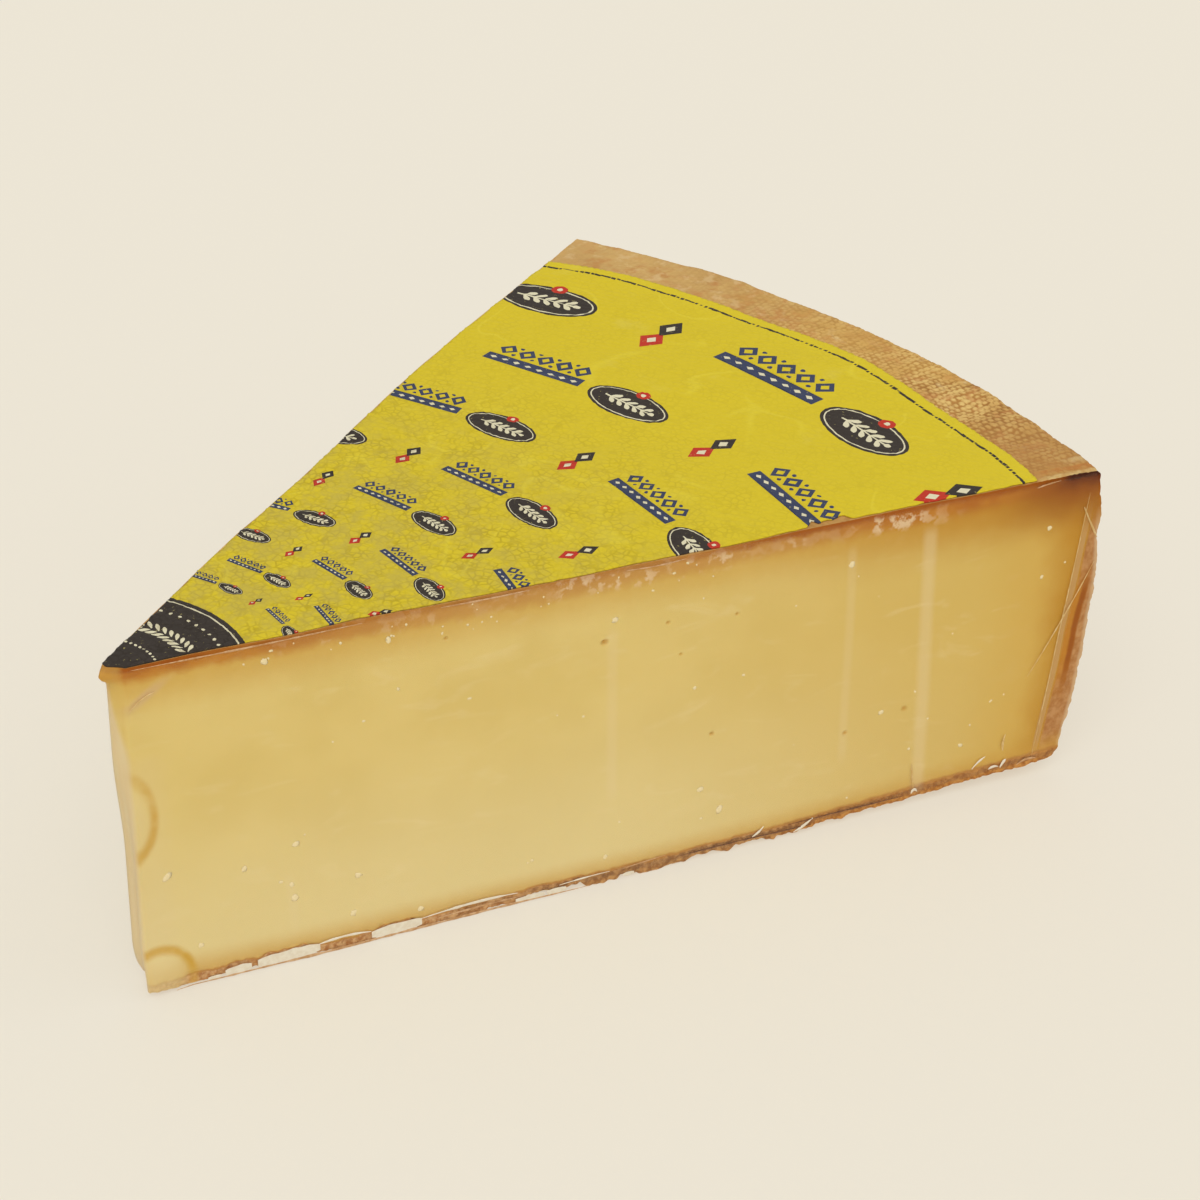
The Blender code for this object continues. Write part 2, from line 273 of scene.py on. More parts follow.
# The label's print: its inks, its rings of motifs, the disc round the axis and the marks along the outer end
PAPER, NAVY, CHARCOAL, CREAM, RED = range(5)
RING_REACH = 251.0
RING_SHRINK = 0.822
RINGS = 9
RING_STEPS = 3
RING_STEP = math.radians(9.7)
RING_SHIFT = math.radians(4.1)
RING_TURN = math.radians(1.2)
DISC_REACH = 40.2
DISC_RING_INSET = 1.5
DISC_RING = 0.45
DISC_STEP = 0.083
EDGE_MARK_INSET = 4.6
EDGE_MARKS = 110

# The label's paper: how ragged its edges are, where one is torn, and how high it lies
RAG = 0.25
NEAR_RAG = 0.55
FAR_RAG = 0.5
RAG_FULL_AT = 30.0
END_RAG = 0.35
TEAR = 1.9
TEAR_FROM = 204.0
TEAR_TO = 217.0
LABEL_TIP_INSET = 0.1
LABEL_CORNER_INSET = 0.3
LABEL_LIFT = 0.08
LABEL_SHEET = 0.2

# The film: how far out it lies, its thickness and its grid
FILM_AWAY = 0.12
FILM_WRINKLE = 0.25
FILM_SHEET = 0.12
FILM_COLUMNS = 150
FILM_TIP_COLUMNS = 9
FILM_ROWS = 34

# Its creases and the gaps that it spans, as low ridges coloured with painted highlights and painted glare
PALE_HIGHLIGHT, CLOUDY_HIGHLIGHT, TAN, BROWN = range(4)
RIBBON_PROFILE = (0.0, 0.6, 1.0, 0.6, 0.0)
RIBBON_AWAY = 0.46
RIBBON_SPACING = 0.8
CREASE_BLUNTNESS = 0.5
CREASE_ROUGHNESS = 0.8
GAP_BLUNTNESS = 0.18
GAP_ROUGHNESS = 0.22
GAP_LOW = 0.7
GAP_RISE = 0.05

# Soft bands of the film: lower and upper end as (distance from the axis, height), half width, strength and whether
# the band is pinkish rather than pale. The pale bands are the film's sheen, painted on the paste as painted
# highlights;
# the pinkish one is its fold round the tip
FILM_BANDS = (
    ((146.9, 30.0), (144.9, 88.0), 2.6, 0.2, False),
    ((251.0, 5.0), (245.0, 99.0), 3.4, 0.34, False),
    ((222.9, 24.0), (219.6, 98.0), 2.2, 0.2, False),
    ((8.5, 94.5), (17.3, 101.6), 3.6, 0.8, True),
    ((51.0, 10.0), (49.6, 30.0), 2.0, 0.15, False),
)

# Creases of the film on the near side: corners as (distance from the axis, height), width, rise, colour. The pale
# and cloudy ones are painted highlights along creases and glints, the tan ones painted highlights along the top
# edge and by the heel's corner and, low down, the film's edge, and the brown ones dark lines in the crust
CREASES = (
    (((10.0, 107.4), (40.0, 107.3), (72.0, 107.2)), 0.5, 0.08, TAN),
    (((94.0, 107.2), (106.0, 107.0), (120.0, 107.2)), 0.45, 0.08, TAN),
    (((148.0, 107.0), (156.0, 106.6), (166.0, 107.0)), 0.45, 0.08, TAN),
    (((297.3, 96.4), (300.4, 90.5), (303.5, 84.8)), 0.6, 0.15, CLOUDY_HIGHLIGHT),
    (((303.8, 76.3), (298.6, 64.0), (285.5, 39.2)), 0.42, 0.12, CLOUDY_HIGHLIGHT),
    (((298.7, 101.0), (296.6, 72.0), (294.3, 42.0), (291.4, 8.0)), 0.3, 0.08, CLOUDY_HIGHLIGHT),
    (((269.9, 8.2), (271.8, 10.3), (274.2, 12.0)), 0.8, 0.2, PALE_HIGHLIGHT),
    (((280.2, 6.4), (281.0, 7.8), (281.9, 9.2)), 1.2, 0.2, PALE_HIGHLIGHT),
    (((276.0, 6.7), (277.7, 7.3), (279.4, 7.0)), 0.9, 0.2, PALE_HIGHLIGHT),
    (((280.5, 12.6), (280.1, 16.0), (280.6, 18.8)), 0.8, 0.15, CLOUDY_HIGHLIGHT),
    (((286.2, 5.8), (290.4, 7.2), (293.0, 6.8)), 0.7, 0.15, TAN),
    (((8.6, 94.6), (11.6, 97.6), (15.6, 99.6)), 0.4, 0.1, CLOUDY_HIGHLIGHT),
    (((279.6, 106.4), (283.6, 107.0), (287.6, 107.3)), 0.6, 0.1, TAN),
    (((16.0, 0.7), (60.0, 0.5), (100.0, 0.5), (140.0, 0.6)), 0.9, 0.1, TAN),
    (((57.0, 3.7), (65.0, 4.4), (73.0, 3.6)), 0.75, 0.1, PALE_HIGHLIGHT),
    (((88.0, 3.6), (104.0, 4.5), (118.0, 4.1)), 0.8, 0.1, PALE_HIGHLIGHT),
    (((92.0, 2.2), (106.0, 2.6), (120.0, 2.6)), 0.6, 0.1, TAN),
    (((131.0, 3.4), (139.0, 3.9), (147.0, 4.0)), 0.45, 0.1, PALE_HIGHLIGHT),
    (((151.0, 3.7), (158.0, 4.4), (165.0, 4.9)), 0.4, 0.1, TAN),
    (((170.0, 3.2), (196.0, 3.0), (214.0, 2.6)), 0.5, 0.1, BROWN),
    (((206.0, 4.6), (226.0, 4.6), (246.0, 4.4)), 0.5, 0.1, BROWN),
    (((194.0, 3.4), (196.4, 4.9), (197.6, 6.4)), 0.8, 0.2, PALE_HIGHLIGHT),
    (((208.0, 1.4), (211.0, 2.6), (214.4, 4.9)), 0.8, 0.2, PALE_HIGHLIGHT),
    (((247.7, 16.0), (248.6, 10.3), (249.4, 6.0)), 0.6, 0.15, CLOUDY_HIGHLIGHT),
    (((248.8, 4.6), (249.7, 5.8), (250.8, 4.9)), 1.4, 0.25, PALE_HIGHLIGHT),
)

# Gaps of the lower edge that the film spans: from, to and height. The film over them is pale, a painted glare that
# covers the shade inside the gaps
GAPS = (
    (25.2, 29.0, 1.3),
    (30.2, 37.8, 2.8),
    (39.6, 57.8, 3.8),
    (73.2, 88.4, 3.6),
    (117.4, 126.4, 1.6),
    (127.2, 133.2, 1.9),
    (151.4, 155.0, 1.4),
)


def ease(x):
    """Goes smoothly from 0 to 1 as x does."""
    t = np.clip(x, 0.0, 1.0)
    return t * t * (3.0 - 2.0 * t)


def columns(*parts):
    """One row for each point, from a list of numbers, or one number for all, for each part of a row."""
    return np.stack(np.broadcast_arrays(*parts), 1)


def waves(along, across, table):
    total = np.zeros_like(along)
    for height, length, width, phase in table:
        total += height * np.sin(2 * math.pi * (along / length + across / width) + phase)
    return total


def bulge(height):
    return HEEL_REACH - HEEL_BULGE * (height - HEEL_WIDEST_AT) ** 2


HIGH_TURN = HEIGHT - TOP_ROUNDING
LOW_TURN = HEEL_LIFT + BOTTOM_ROUNDING
TOP_END = bulge(HIGH_TURN) - TOP_ROUNDING
BOTTOM_END = bulge(LOW_TURN) - BOTTOM_ROUNDING


def underside(reach):
    """Height of the underside at a distance from the wheel's axis."""
    tip = TIP_LIFT * (1.0 - ease((reach - TIP_LIFT_UP_TO) / (FLAT_FROM - TIP_LIFT_UP_TO)))
    ahead = np.clip((reach - FLAT_TO) / (BOTTOM_END - FLAT_TO), 0.0, 1.0)
    return tip + HEEL_LIFT * ahead**HEEL_LIFT_POWER


def heel_reach(height):
    """Distance from the axis to the heel's outside, with its rounded top and bottom."""
    over = np.clip(height - HIGH_TURN, 0.0, TOP_ROUNDING)
    under = np.clip(LOW_TURN - height, 0.0, BOTTOM_ROUNDING)
    reach = bulge(np.clip(height, LOW_TURN, HIGH_TURN))
    reach = reach - TOP_ROUNDING + np.sqrt(TOP_ROUNDING**2 - over**2)
    return reach - BOTTOM_ROUNDING + np.sqrt(BOTTOM_ROUNDING**2 - under**2)


def tip_reach(height, across):
    """Distance from the axis to the blunt tip.

    Its face slants. On the far side it leans back lower down, has a small knob by the top, and has lost its
    lower corner.
    """
    flat = math.cos(CUT_ANGLE / 2) / np.cos((across - 0.5) * CUT_ANGLE)
    rounding = TIP_ROUNDING * (1.0 - (2.0 * across - 1.0) ** 2)
    share = np.clip(1.0 - height / TIP_CHAMFER_HEIGHT, 0.0, 1.0)
    lean = TIP_LEAN * ease((TIP_LEAN_FROM - height) / (TIP_LEAN_FROM - TIP_LEAN_FULL_AT))
    knob = TIP_KNOB * np.exp(-(((height - TIP_KNOB_HEIGHT) / TIP_KNOB_HALF) ** 2))
    back = (TIP_CHAMFER_DEPTH * share**2 + lean - knob) * ease(across / TIP_CHAMFER_FULL_AT)
    return (TIP_RADIUS + TIP_SLANT * (0.5 - across)) * flat - rounding + back


def wave_strength(reach):
    return ease((reach - WAVES_FROM) / (WAVES_FULL_AT - WAVES_FROM))


def near_bow(reach, height):
    """How far the near cut side stands out from its plane."""
    total = waves(reach, height, CUT_WAVES) * wave_strength(reach)
    for middle, level, half_length, half_height, size in BULGES:
        away = np.hypot((reach - middle) / half_length, (height - level) / half_height)
        total = total + size * np.clip(1.0 - away**2, 0.0, 1.0) ** BULGE_POWER
    return total


def far_bow(reach, height):
    """How far the far cut side stands out from its plane."""
    share = np.clip(reach / CUT_LENGTH, 0.0, 1.0)
    total = waves(reach + FAR_SIDE_SHIFT, height, CUT_WAVES) * wave_strength(reach)
    for count, size in enumerate(FAR_SIDE_BOW, start=1):
        total += size * np.sin(count * math.pi * share)
    return total


def plan_place(reach, across, height):
    """Plan position at a distance from the axis, across from the near cut (0) to the far one (1)."""
    angle = (across - 0.5) * CUT_ANGLE
    near = near_bow(reach, height) * (1.0 - across) ** 2
    far = far_bow(reach, height) * across**2
    x = reach * np.cos(angle) + near * NEAR_OUT[0] + far * FAR_OUT[0]
    y = reach * np.sin(angle) + near * NEAR_OUT[1] + far * FAR_OUT[1]
    return x, y


def top_height(x, y):
    return HEIGHT + waves(x, y, TOP_WAVES)


def film_end(height):
    """Distance from the axis to the film's edge near the heel."""
    return np.minimum(FILM_END_LOW + FILM_END_SLOPE * height, heel_reach(height) - FILM_END_INSET)


def label_end(across):
    """Distance from the axis to the label's outer end."""
    ripple = LABEL_RIPPLE * np.sin(LABEL_RIPPLES * math.pi * across + LABEL_RIPPLE_PHASE)
    return LABEL_REACH + LABEL_BOW * np.sin(math.pi * across) + ripple


def mottle(x, y, seed, pitch):
    """Smooth random field between 0 and 1 with features of about one pitch, the same each run."""
    size = 97
    draws = np.random.default_rng(seed).uniform(0.0, 1.0, (size, size))
    u, v = x / pitch, y / pitch
    i, j = np.floor(u).astype(int), np.floor(v).astype(int)
    a, b = ease(u - i), ease(v - j)
    low = draws[i % size, j % size] * (1.0 - a) + draws[(i + 1) % size, j % size] * a
    high = draws[i % size, (j + 1) % size] * (1.0 - a) + draws[(i + 1) % size, (j + 1) % size] * a
    return low * (1.0 - b) + high * b


def mottled_line(x, field):
    """Smooth random values along one direction."""
    return mottle(x, np.zeros_like(x), *field)


def cloth(along, across, seed):
    """Print of a loose cloth: 0 in its grooves and 1 on its bumps."""
    u = along / CLOTH_PITCH + CLOTH_WANDER * (mottle(along, across, seed, 9.0) - 0.5)
    v = across / CLOTH_PITCH + CLOTH_WANDER * (mottle(along, across, seed + 1, 11.0) - 0.5)
    shift = 0.5 * (np.floor(u) % 2)
    bumps = np.abs(np.sin(math.pi * u) * np.sin(math.pi * (v + shift))) ** 0.7
    return bumps * (0.65 + 0.5 * mottle(along, across, seed + 2, 3.0))


def chipped(reach, across, height):
    """Lifts the lower edge of the near side where pieces have broken off."""
    chip = np.zeros_like(reach)
    for middle, half, size in CHIPS:
        from_core = (np.abs(reach - middle) - half * CHIP_CORE) / (half * (1.0 - CHIP_CORE))
        chip = np.maximum(chip, size * (1.0 - ease(from_core)))
    rough = mottled_line(reach, CHIP_ROUGH)
    patches = mottled_line(reach, CHIP_PATCHES)
    chip = chip * (1.0 - CHIP_RAGGEDNESS / 2 + CHIP_RAGGEDNESS * rough)
    chip = chip + (CHIP_ROUGHNESS * rough + CHIP_FINENESS * mottled_line(reach, CHIP_FINE)) * patches
    inward = np.clip(1.0 - reach * across * CUT_ANGLE / CHIP_DEPTH, 0.0, 1.0)
    return height + chip * inward * np.clip(1.0 - height / CHIP_REACH_UP, 0.0, 1.0)


def wedge_points(reach, across, height):
    """Places of points on the cheese's surface before the cloth's print is pressed in."""
    around = reach * (across - 0.5) * CUT_ANGLE
    on_heel = ease((reach / heel_reach(height) - 1.0 + HEEL_SHARE) / HEEL_SHARE)
    lumps = waves(around, height, HEEL_WAVES) * on_heel
    reach = reach + lumps * np.sin(math.pi * np.clip(height / HEIGHT, 0.0, 1.0))
    height = chipped(reach, across, height)
    x, y = plan_place(reach, across, height)
    relief = (top_height(x, y) - HEIGHT) * ease(2.0 * height / HEIGHT - 1.0)
    return columns(x, y, height + relief)


# Triangulating flat regions

def spaced(start, end, spacing):
    """Evenly spaced numbers from start to end, both included, about a spacing apart."""
    return np.linspace(start, end, max(2, int(round(abs(end - start) / spacing)) + 1))


def lattice(low, high, spacing, keep):
    """Points of a triangular lattice within a box for which keep says yes."""
    rows = np.arange(low[1], high[1], spacing * math.sqrt(3) / 2)
    x, y = np.meshgrid(np.arange(low[0], high[0], spacing), rows)
    x = x + (np.arange(len(rows)) % 2 * spacing / 2)[:, None]
    x, y = x.ravel(), y.ravel()
    kept = keep(x, y)
    return columns(x[kept], y[kept])


def inside_of(outline):
    """A test of which points lie inside a closed outline."""
    edges = list(zip(outline, np.roll(outline, -1, axis=0)))

    def holds(x, y):
        inside = np.zeros(len(x), bool)
        for (ax, ay), (bx, by) in edges:
            if ay != by:
                crosses = (ay > y) != (by > y)
                inside ^= crosses & (x < (bx - ax) * (y - ay) / (by - ay) + ax)
        return inside

    return holds


def signed_area(outline):
    """Area of a flat outline, above 0 where it runs anticlockwise."""
    x, y = np.asarray(outline).T
    return 0.5 * float(np.sum(x * np.roll(y, -1) - y * np.roll(x, -1)))


def filled(outlines, inside):
    """Triangulates the first outline, with the other outlines and the points inside as corners.

    Gives the points, which input point each one was (or -1), the triangles, and the outline uppermost at each.
    """
    loops, given = [], []
    for outline in outlines:
        loop = list(range(len(given), len(given) + len(outline)))
        loops.append(loop if signed_area(outline) > 0.0 else loop[::-1])
        given.extend(Vector(point) for point in outline)
    given.extend(Vector(point) for point in inside)
    points, _, faces, sources, _, covers = delaunay_2d_cdt(given, [], loops, 1, 1e-4)
    kept = [index for index, cover in enumerate(covers) if 0 in cover]
    used = sorted({corner for index in kept for corner in faces[index]})
    renumbered = {corner: count for count, corner in enumerate(used)}
    source = np.array([sources[corner][0] if sources[corner] else -1 for corner in used])
    places = np.array([(points[corner].x, points[corner].y) for corner in used])
    triangles = [tuple(renumbered[corner] for corner in faces[index]) for index in kept]
    return places, source, triangles, [max(covers[index]) for index in kept]


def flat_patch(outline, inside, spot):
    """Triangles of a patch whose points are (reach, across, height), laid out flat by spot for triangulation."""
    shares = np.concatenate([outline, inside])
    flat = spot(shares)
    _, source, faces, _ = filled([flat[: len(outline)]], flat[len(outline) :])
    return shares, [tuple(source[index] for index in face) for face in faces]


# The cheese

def heel_profile(spacing):
    """Reach and height down the heel, from where the upper rounding starts to where the lower one ends."""
    turn = spaced(0.0, math.pi / 2, spacing / TOP_ROUNDING)
    upper = columns(TOP_END + TOP_ROUNDING * np.sin(turn), HIGH_TURN + TOP_ROUNDING * np.cos(turn))
    side = spaced(HIGH_TURN, LOW_TURN, spacing)[1:-1]
    turn = spaced(0.0, math.pi / 2, spacing / BOTTOM_ROUNDING)
    lower = columns(BOTTOM_END + BOTTOM_ROUNDING * np.cos(turn), LOW_TURN - BOTTOM_ROUNDING * np.sin(turn))
    return np.concatenate([upper, columns(bulge(side), side), lower])


def profile_length(reach, height):
    """How far along the outside a point lies, counted outwards over the top and then down the heel."""
    over = TOP_ROUNDING * np.arctan2(np.maximum(reach - TOP_END, 0.0), np.maximum(height - HIGH_TURN, 1e-9))
    down = TOP_ROUNDING * math.pi / 2 + HIGH_TURN - height
    return np.minimum(reach, TOP_END) + np.where(height >= HIGH_TURN, over, down)


def tip_heights():
    return spaced(TIP_LIFT, HEIGHT, TIP_UP_SPACING)


def heel_across():
    return spaced(0.0, 1.0, HEEL_SPACING / (CUT_ANGLE * HEEL_REACH))


def side_outline(across):
    """The outline of a cut side, up the tip, along the top, down the heel and back along the bottom."""
    heights = tip_heights()
    tip = columns(tip_reach(heights, across), heights)
    top = columns(spaced(tip[-1, 0], TOP_END, EDGE_SPACING)[1:-1], HEIGHT)
    low_spacing = LOW_EDGE_SPACING if across < 0.5 else EDGE_SPACING
    reach = spaced(tip[0, 0], BOTTOM_END, low_spacing)[-2:0:-1]
    bottom = columns(reach, underside(reach))
    flat = np.concatenate([tip, top, heel_profile(HEEL_SPACING), bottom])
    return columns(flat[:, 0], across, flat[:, 1])


def side_inside(across):
    """Points inside a cut side: close together by its edges, at the tip and round the eyes."""
    near = across < 0.5
    strip = FINE_STRIP if near else FINE_STRIP / 2

    def is_clear(reach, height):
        height = np.clip(height, 0.0, HEIGHT)
        edges = [reach - tip_reach(height, across), HEIGHT - height, height - underside(reach)]
        return np.minimum.reduce(edges + [heel_reach(height) - reach]) > 0.45 * EDGE_SPACING

    def by_eye(reach, height):
        rings = [np.hypot(reach - eye[0], height - eye[1]) - eye[2] for eye in EYES]
        return (np.min(rings, axis=0) < EYE_MARGIN) & near

    def is_low(reach, height):
        return (height - underside(reach) < RIND_THICKNESS + 0.6) & near

    def is_fine(reach, height):
        low_or_high = (height - underside(reach) < strip) | (HEIGHT - height < strip)
        return low_or_high | (heel_reach(height) - reach < 2.4 * strip) | ((reach < FINE_TIP) & near)

    def is_edge(reach, height):
        return is_fine(reach, height) & ~by_eye(reach, height) & ~is_low(reach, height)

    def is_plain(reach, height):
        return ~is_fine(reach, height) & ~by_eye(reach, height) & ~is_low(reach, height)

    rules = ((EYE_SPACING, by_eye), (LOW_EDGE_SPACING, is_low), (EDGE_SPACING, is_edge), (PLAIN_SPACING, is_plain))
    found = []
    for spacing, rule in rules:
        found.append(lattice((0, 0), (HEEL_REACH, HEIGHT), spacing, lambda r, z: is_clear(r, z) & rule(r, z)))
    flat = np.concatenate(found)
    return columns(flat[:, 0], across, flat[:, 1])


def side_patch(across):
    return flat_patch(side_outline(across), side_inside(across), lambda shares: shares[:, [0, 2]])


def plan_spot(shares):
    angle = (shares[:, 1] - 0.5) * CUT_ANGLE
    return columns(shares[:, 0] * np.cos(angle), shares[:, 0] * np.sin(angle))


def plan_shares(x, y):
    """Distance from the axis and share across the wedge of a plan position."""
    return np.hypot(x, y), np.arctan2(y, x) / CUT_ANGLE + 0.5


def plan_patch(is_top):
    """The top or the underside."""
    end, tip_level = (TOP_END, HEIGHT) if is_top else (BOTTOM_END, TIP_LIFT)

    def level(reach):
        return np.full_like(reach, HEIGHT) if is_top else underside(reach)

    def inset(x, y):
        reach, across = plan_shares(x, y)
        side = reach * np.sin(np.maximum((0.5 - np.abs(across - 0.5)) * CUT_ANGLE, 0.0))
        return np.minimum.reduce([side, end - reach, reach - tip_reach(tip_level, np.clip(across, 0.0, 1.0))])

    def is_fine(x, y):
        reach, across = plan_shares(x, y)
        return reach > RIM_FROM if is_top else reach * across * CUT_ANGLE < CHIP_DEPTH + 1.0

    across = spaced(0.0, 1.0, TIP_ACROSS_SPACING)
    tip = columns(tip_reach(tip_level, across), across, tip_level)
    heel = columns(end, heel_across(), level(np.array([end]))[0])
    near = spaced(tip[0, 0], end, EDGE_SPACING if is_top else LOW_EDGE_SPACING)[1:-1]
    far = spaced(tip[-1, 0], end, EDGE_SPACING)[-2:0:-1]
    outline = np.concatenate([columns(near, 0.0, level(near)), heel, columns(far, 1.0, level(far)), tip[::-1]])
    fine = RIM_SPACING if is_top else EDGE_SPACING
    low, high = (0.0, -end), (end, end)
    flat = np.concatenate([
        lattice(low, high, fine, lambda x, y: (inset(x, y) > 0.4 * fine) & is_fine(x, y)),
        lattice(low, high, HIDDEN_SPACING, lambda x, y: (inset(x, y) > 1.0) & ~is_fine(x, y)),
    ])
    reach, across = plan_shares(*flat.T)
    return flat_patch(outline, columns(reach, across, level(reach)), plan_spot)


def heel_patch():
    """The heel with its rounded top and bottom, laid out by the arc across it and the length of its profile."""
    profile = heel_profile(HEEL_SPACING)
    length = np.concatenate([[0.0], np.cumsum(np.hypot(*np.diff(profile, axis=0).T))])
    width = CUT_ANGLE * HEEL_REACH
    lines = heel_across()[1:-1]
    outline = np.concatenate([
        columns(profile[:, 0], 0.0, profile[:, 1]),
        columns(profile[-1, 0], lines, profile[-1, 1]),
        columns(profile[::-1, 0], 1.0, profile[::-1, 1]),
        columns(profile[0, 0], lines[::-1], profile[0, 1]),
    ])
    margin = 0.45 * HEEL_SPACING
    high = (width - margin, length[-1] - margin)
    arc, down = lattice((margin, margin), high, HEEL_SPACING, lambda a, t: a < width - margin).T
    inside = columns(np.interp(down, length, profile[:, 0]), arc / width, np.interp(down, length, profile[:, 1]))
    down = np.concatenate([length, np.full(len(lines), length[-1]), length[::-1], np.zeros(len(lines)), down])
    return flat_patch(outline, inside, lambda shares: columns(shares[:, 1] * width, down))


def tip_patch():
    heights = tip_heights()
    lines = spaced(0.0, 1.0, TIP_ACROSS_SPACING)
    rows = [columns(tip_reach(heights, line), line, heights) for line in lines]
    count = len(heights)
    faces = []
    for i in range(len(lines) - 1):
        for j in range(count - 1):
            first = i * count + j
            faces.append((first, first + 1, first + count + 1))
            faces.append((first, first + count + 1, first + count))
    return np.concatenate(rows), faces


def joined(patches):
    """Joins patches at the points that they share: the points, the triangles and each triangle's patch."""
    count = np.cumsum([0] + [len(shares) for shares, _ in patches])
    everything = np.concatenate([shares for shares, _ in patches])
    _, first, index = np.unique(np.round(everything, 5), axis=0, return_index=True, return_inverse=True)
    index = index.ravel()
    faces, owners = [], []
    for owner, (_, patch_faces) in enumerate(patches):
        faces += [tuple(index[corner + count[owner]] for corner in face) for face in patch_faces]
        owners += [owner] * len(patch_faces)
    return everything[first], faces, np.array(owners)


def rind_direction(reach, across, height):
    """The way out of the rind at each point."""
    angle = (across - 0.5) * CUT_ANGLE
    turn_up = np.arctan2(np.maximum(height - HIGH_TURN, 0.0), np.maximum(reach - TOP_END, 1e-6))
    turn_down = np.arcsin(np.clip((LOW_TURN - height) / BOTTOM_ROUNDING, 0.0, 1.0))
    tilt = np.where(height > HIGH_TURN, turn_up, -turn_down)
    return columns(np.cos(tilt) * np.cos(angle), np.cos(tilt) * np.sin(angle), np.sin(tilt))


def dents(reach, across, height):
    """How deep the eyes of the near cut side are at each point, as a depth and as a share of each eye's own."""
    deep, share = np.zeros(len(reach)), np.zeros(len(reach))
    for middle, level, radius, depth in EYES:
        away = np.hypot(reach - middle, (height - level) * EYE_FLATNESS) / radius
        within = (1.0 - ease(away)) * (across < 1e-6)
        deep += depth * within
        share = np.maximum(share, within)
    return deep, share


def past_film(reach, height):
    return reach - film_end(np.clip(height, 0.0, HEIGHT))


def crumble(reach, across, height):
    """How far the cut rind stands out, roughly, along the bottom and the heel of both cut sides."""
    low = ease(1.3 - (height - underside(reach)) / RIND_THICKNESS)
    heel = ease(past_film(reach, height) / 1.5 + 0.2) * (height < HEIGHT - 8.0)
    rough = mottle(reach, height, *CRUMBS) + 0.6 * mottle(reach, height, *FINE_CRUMBS) - 0.8
    return rough * np.maximum(CRUMBLE * low, HEEL_CRUMBLE * heel)


def wear(reach, across, height):
    """How much of the near side's edge along the heel, outside the film, is worn away."""
    beyond = np.clip(past_film(reach, height), 0.0, None)
    share = ease(1.0 - across * CUT_ANGLE * reach / WEAR_WIDTH)
    return WEAR * (beyond / WEAR_LENGTH) ** WEAR_POWER * share


def rind_lift(reach, across, height, weave):
    """How far the cloth's print and the rind's lumps and knobs lift it."""
    around = (across - 0.5) * CUT_ANGLE * HEEL_REACH
    length = profile_length(reach, height)
    lumps = mottle(around, length, *BIG_LUMPS) + 0.5 * mottle(around, length, *SMALL_LUMPS) - 0.75
    corner = ease(1.0 - across * reach * CUT_ANGLE / CORNER_WIDTH) * (height < HEIGHT - 3.0)
    knobs = mottle(around, length, *KNOBS) - 0.45
    far_rim = ease((across * CUT_ANGLE * HEEL_REACH - 80.0) / 90.0) * ease((height - 92.0) / 14.0)
    depth = CLOTH_DEPTH * (1.0 - CLOTH_FADE * far_rim)
    return depth * (weave - 0.5) + RIND_LUMPS * lumps + CORNER_KNOBS * corner * knobs


def new_mesh(name, points, faces):
    """A mesh with its faces turned outwards, from points in millimetres from the wheel's axis."""
    mesh = bpy.data.meshes.new(name)
    mesh.from_pydata(((points + AXIS) * METRES).tolist(), [], faces)
    shape = bmesh.new()
    shape.from_mesh(mesh)
    bmesh.ops.recalc_face_normals(shape, faces=shape.faces)
    shape.to_mesh(mesh)
    shape.free()
    mesh.shade_smooth()
    return mesh


def add_numbers(mesh, name, values):
    """Keeps a number, or three numbers, for each point of a mesh, for its material to read."""
    kind, field = ("FLOAT", "value") if values.ndim == 1 else ("FLOAT_VECTOR", "vector")
    layer = mesh.attributes.new(name, kind, "POINT")
    layer.data.foreach_set(field, values.astype(np.float32).ravel())


def sharpen(mesh, groups):
    """Marks the edges between faces of different groups as sharp."""
    first = {}
    sharp = np.zeros(len(mesh.edges), bool)
    for polygon in mesh.polygons:
        for loop in polygon.loop_indices:
            edge = mesh.loops[loop].edge_index
            if edge in first:
                sharp[edge] = first[edge] != groups[polygon.index]
            else:
                first[edge] = groups[polygon.index]
    layer = mesh.attributes.new("sharp_edge", "BOOLEAN", "EDGE")
    layer.data.foreach_set("value", sharp)


def dress(mesh, materials, slots):
    """Gives a mesh its materials, with the number of the one that each face wears."""
    for material in materials:
        mesh.materials.append(material)
    mesh.polygons.foreach_set("material_index", np.array(slots, np.int32))


def make_cheese(paste, rind):
    patches = [side_patch(0.0), side_patch(1.0), tip_patch(), plan_patch(True), heel_patch(), plan_patch(False)]
    rind_from = 3
    shares, faces, owners = joined(patches)
    reach, across, height = shares.T
    deep, dent = dents(reach, across, height)
    points = wedge_points(reach, across, height)
    points[:, :2] -= deep[:, None] * NEAR_OUT
    points[:, :2] -= wear(reach, across, height)[:, None] * NEAR_OUT
    out = crumble(reach, across, height)
    points[:, :2] += (out * (across < 1e-6))[:, None] * NEAR_OUT + (out * (across > 1.0 - 1e-6))[:, None] * FAR_OUT
    on_rind = np.zeros(len(shares), bool)
    on_rind[np.array([face for face, owner in zip(faces, owners) if owner >= rind_from]).ravel()] = True
    weave = cloth((across - 0.5) * CUT_ANGLE * HEEL_REACH, profile_length(reach, height), RIND_WEAVE)
    shown = on_rind & (reach > RIM_FROM) & (height > HEEL_LIFT + 0.5)
    lift = rind_lift(reach, across, height, weave) * shown
    points += lift[:, None] * rind_direction(reach, across, height)
    mesh = new_mesh("cheese_body", points, faces)
    add_numbers(mesh, "weave", weave)
    add_numbers(mesh, "dent", dent)
    add_numbers(mesh, "depth", columns(HEIGHT - height, height - underside(reach), heel_reach(height) - reach))
    add_numbers(mesh, "spot", columns(reach, across * reach * CUT_ANGLE, height))
    dress(mesh, [paste, rind], owners >= rind_from)
    sharpen(mesh, owners >= rind_from)
    return show(mesh, "cheese")


# The label

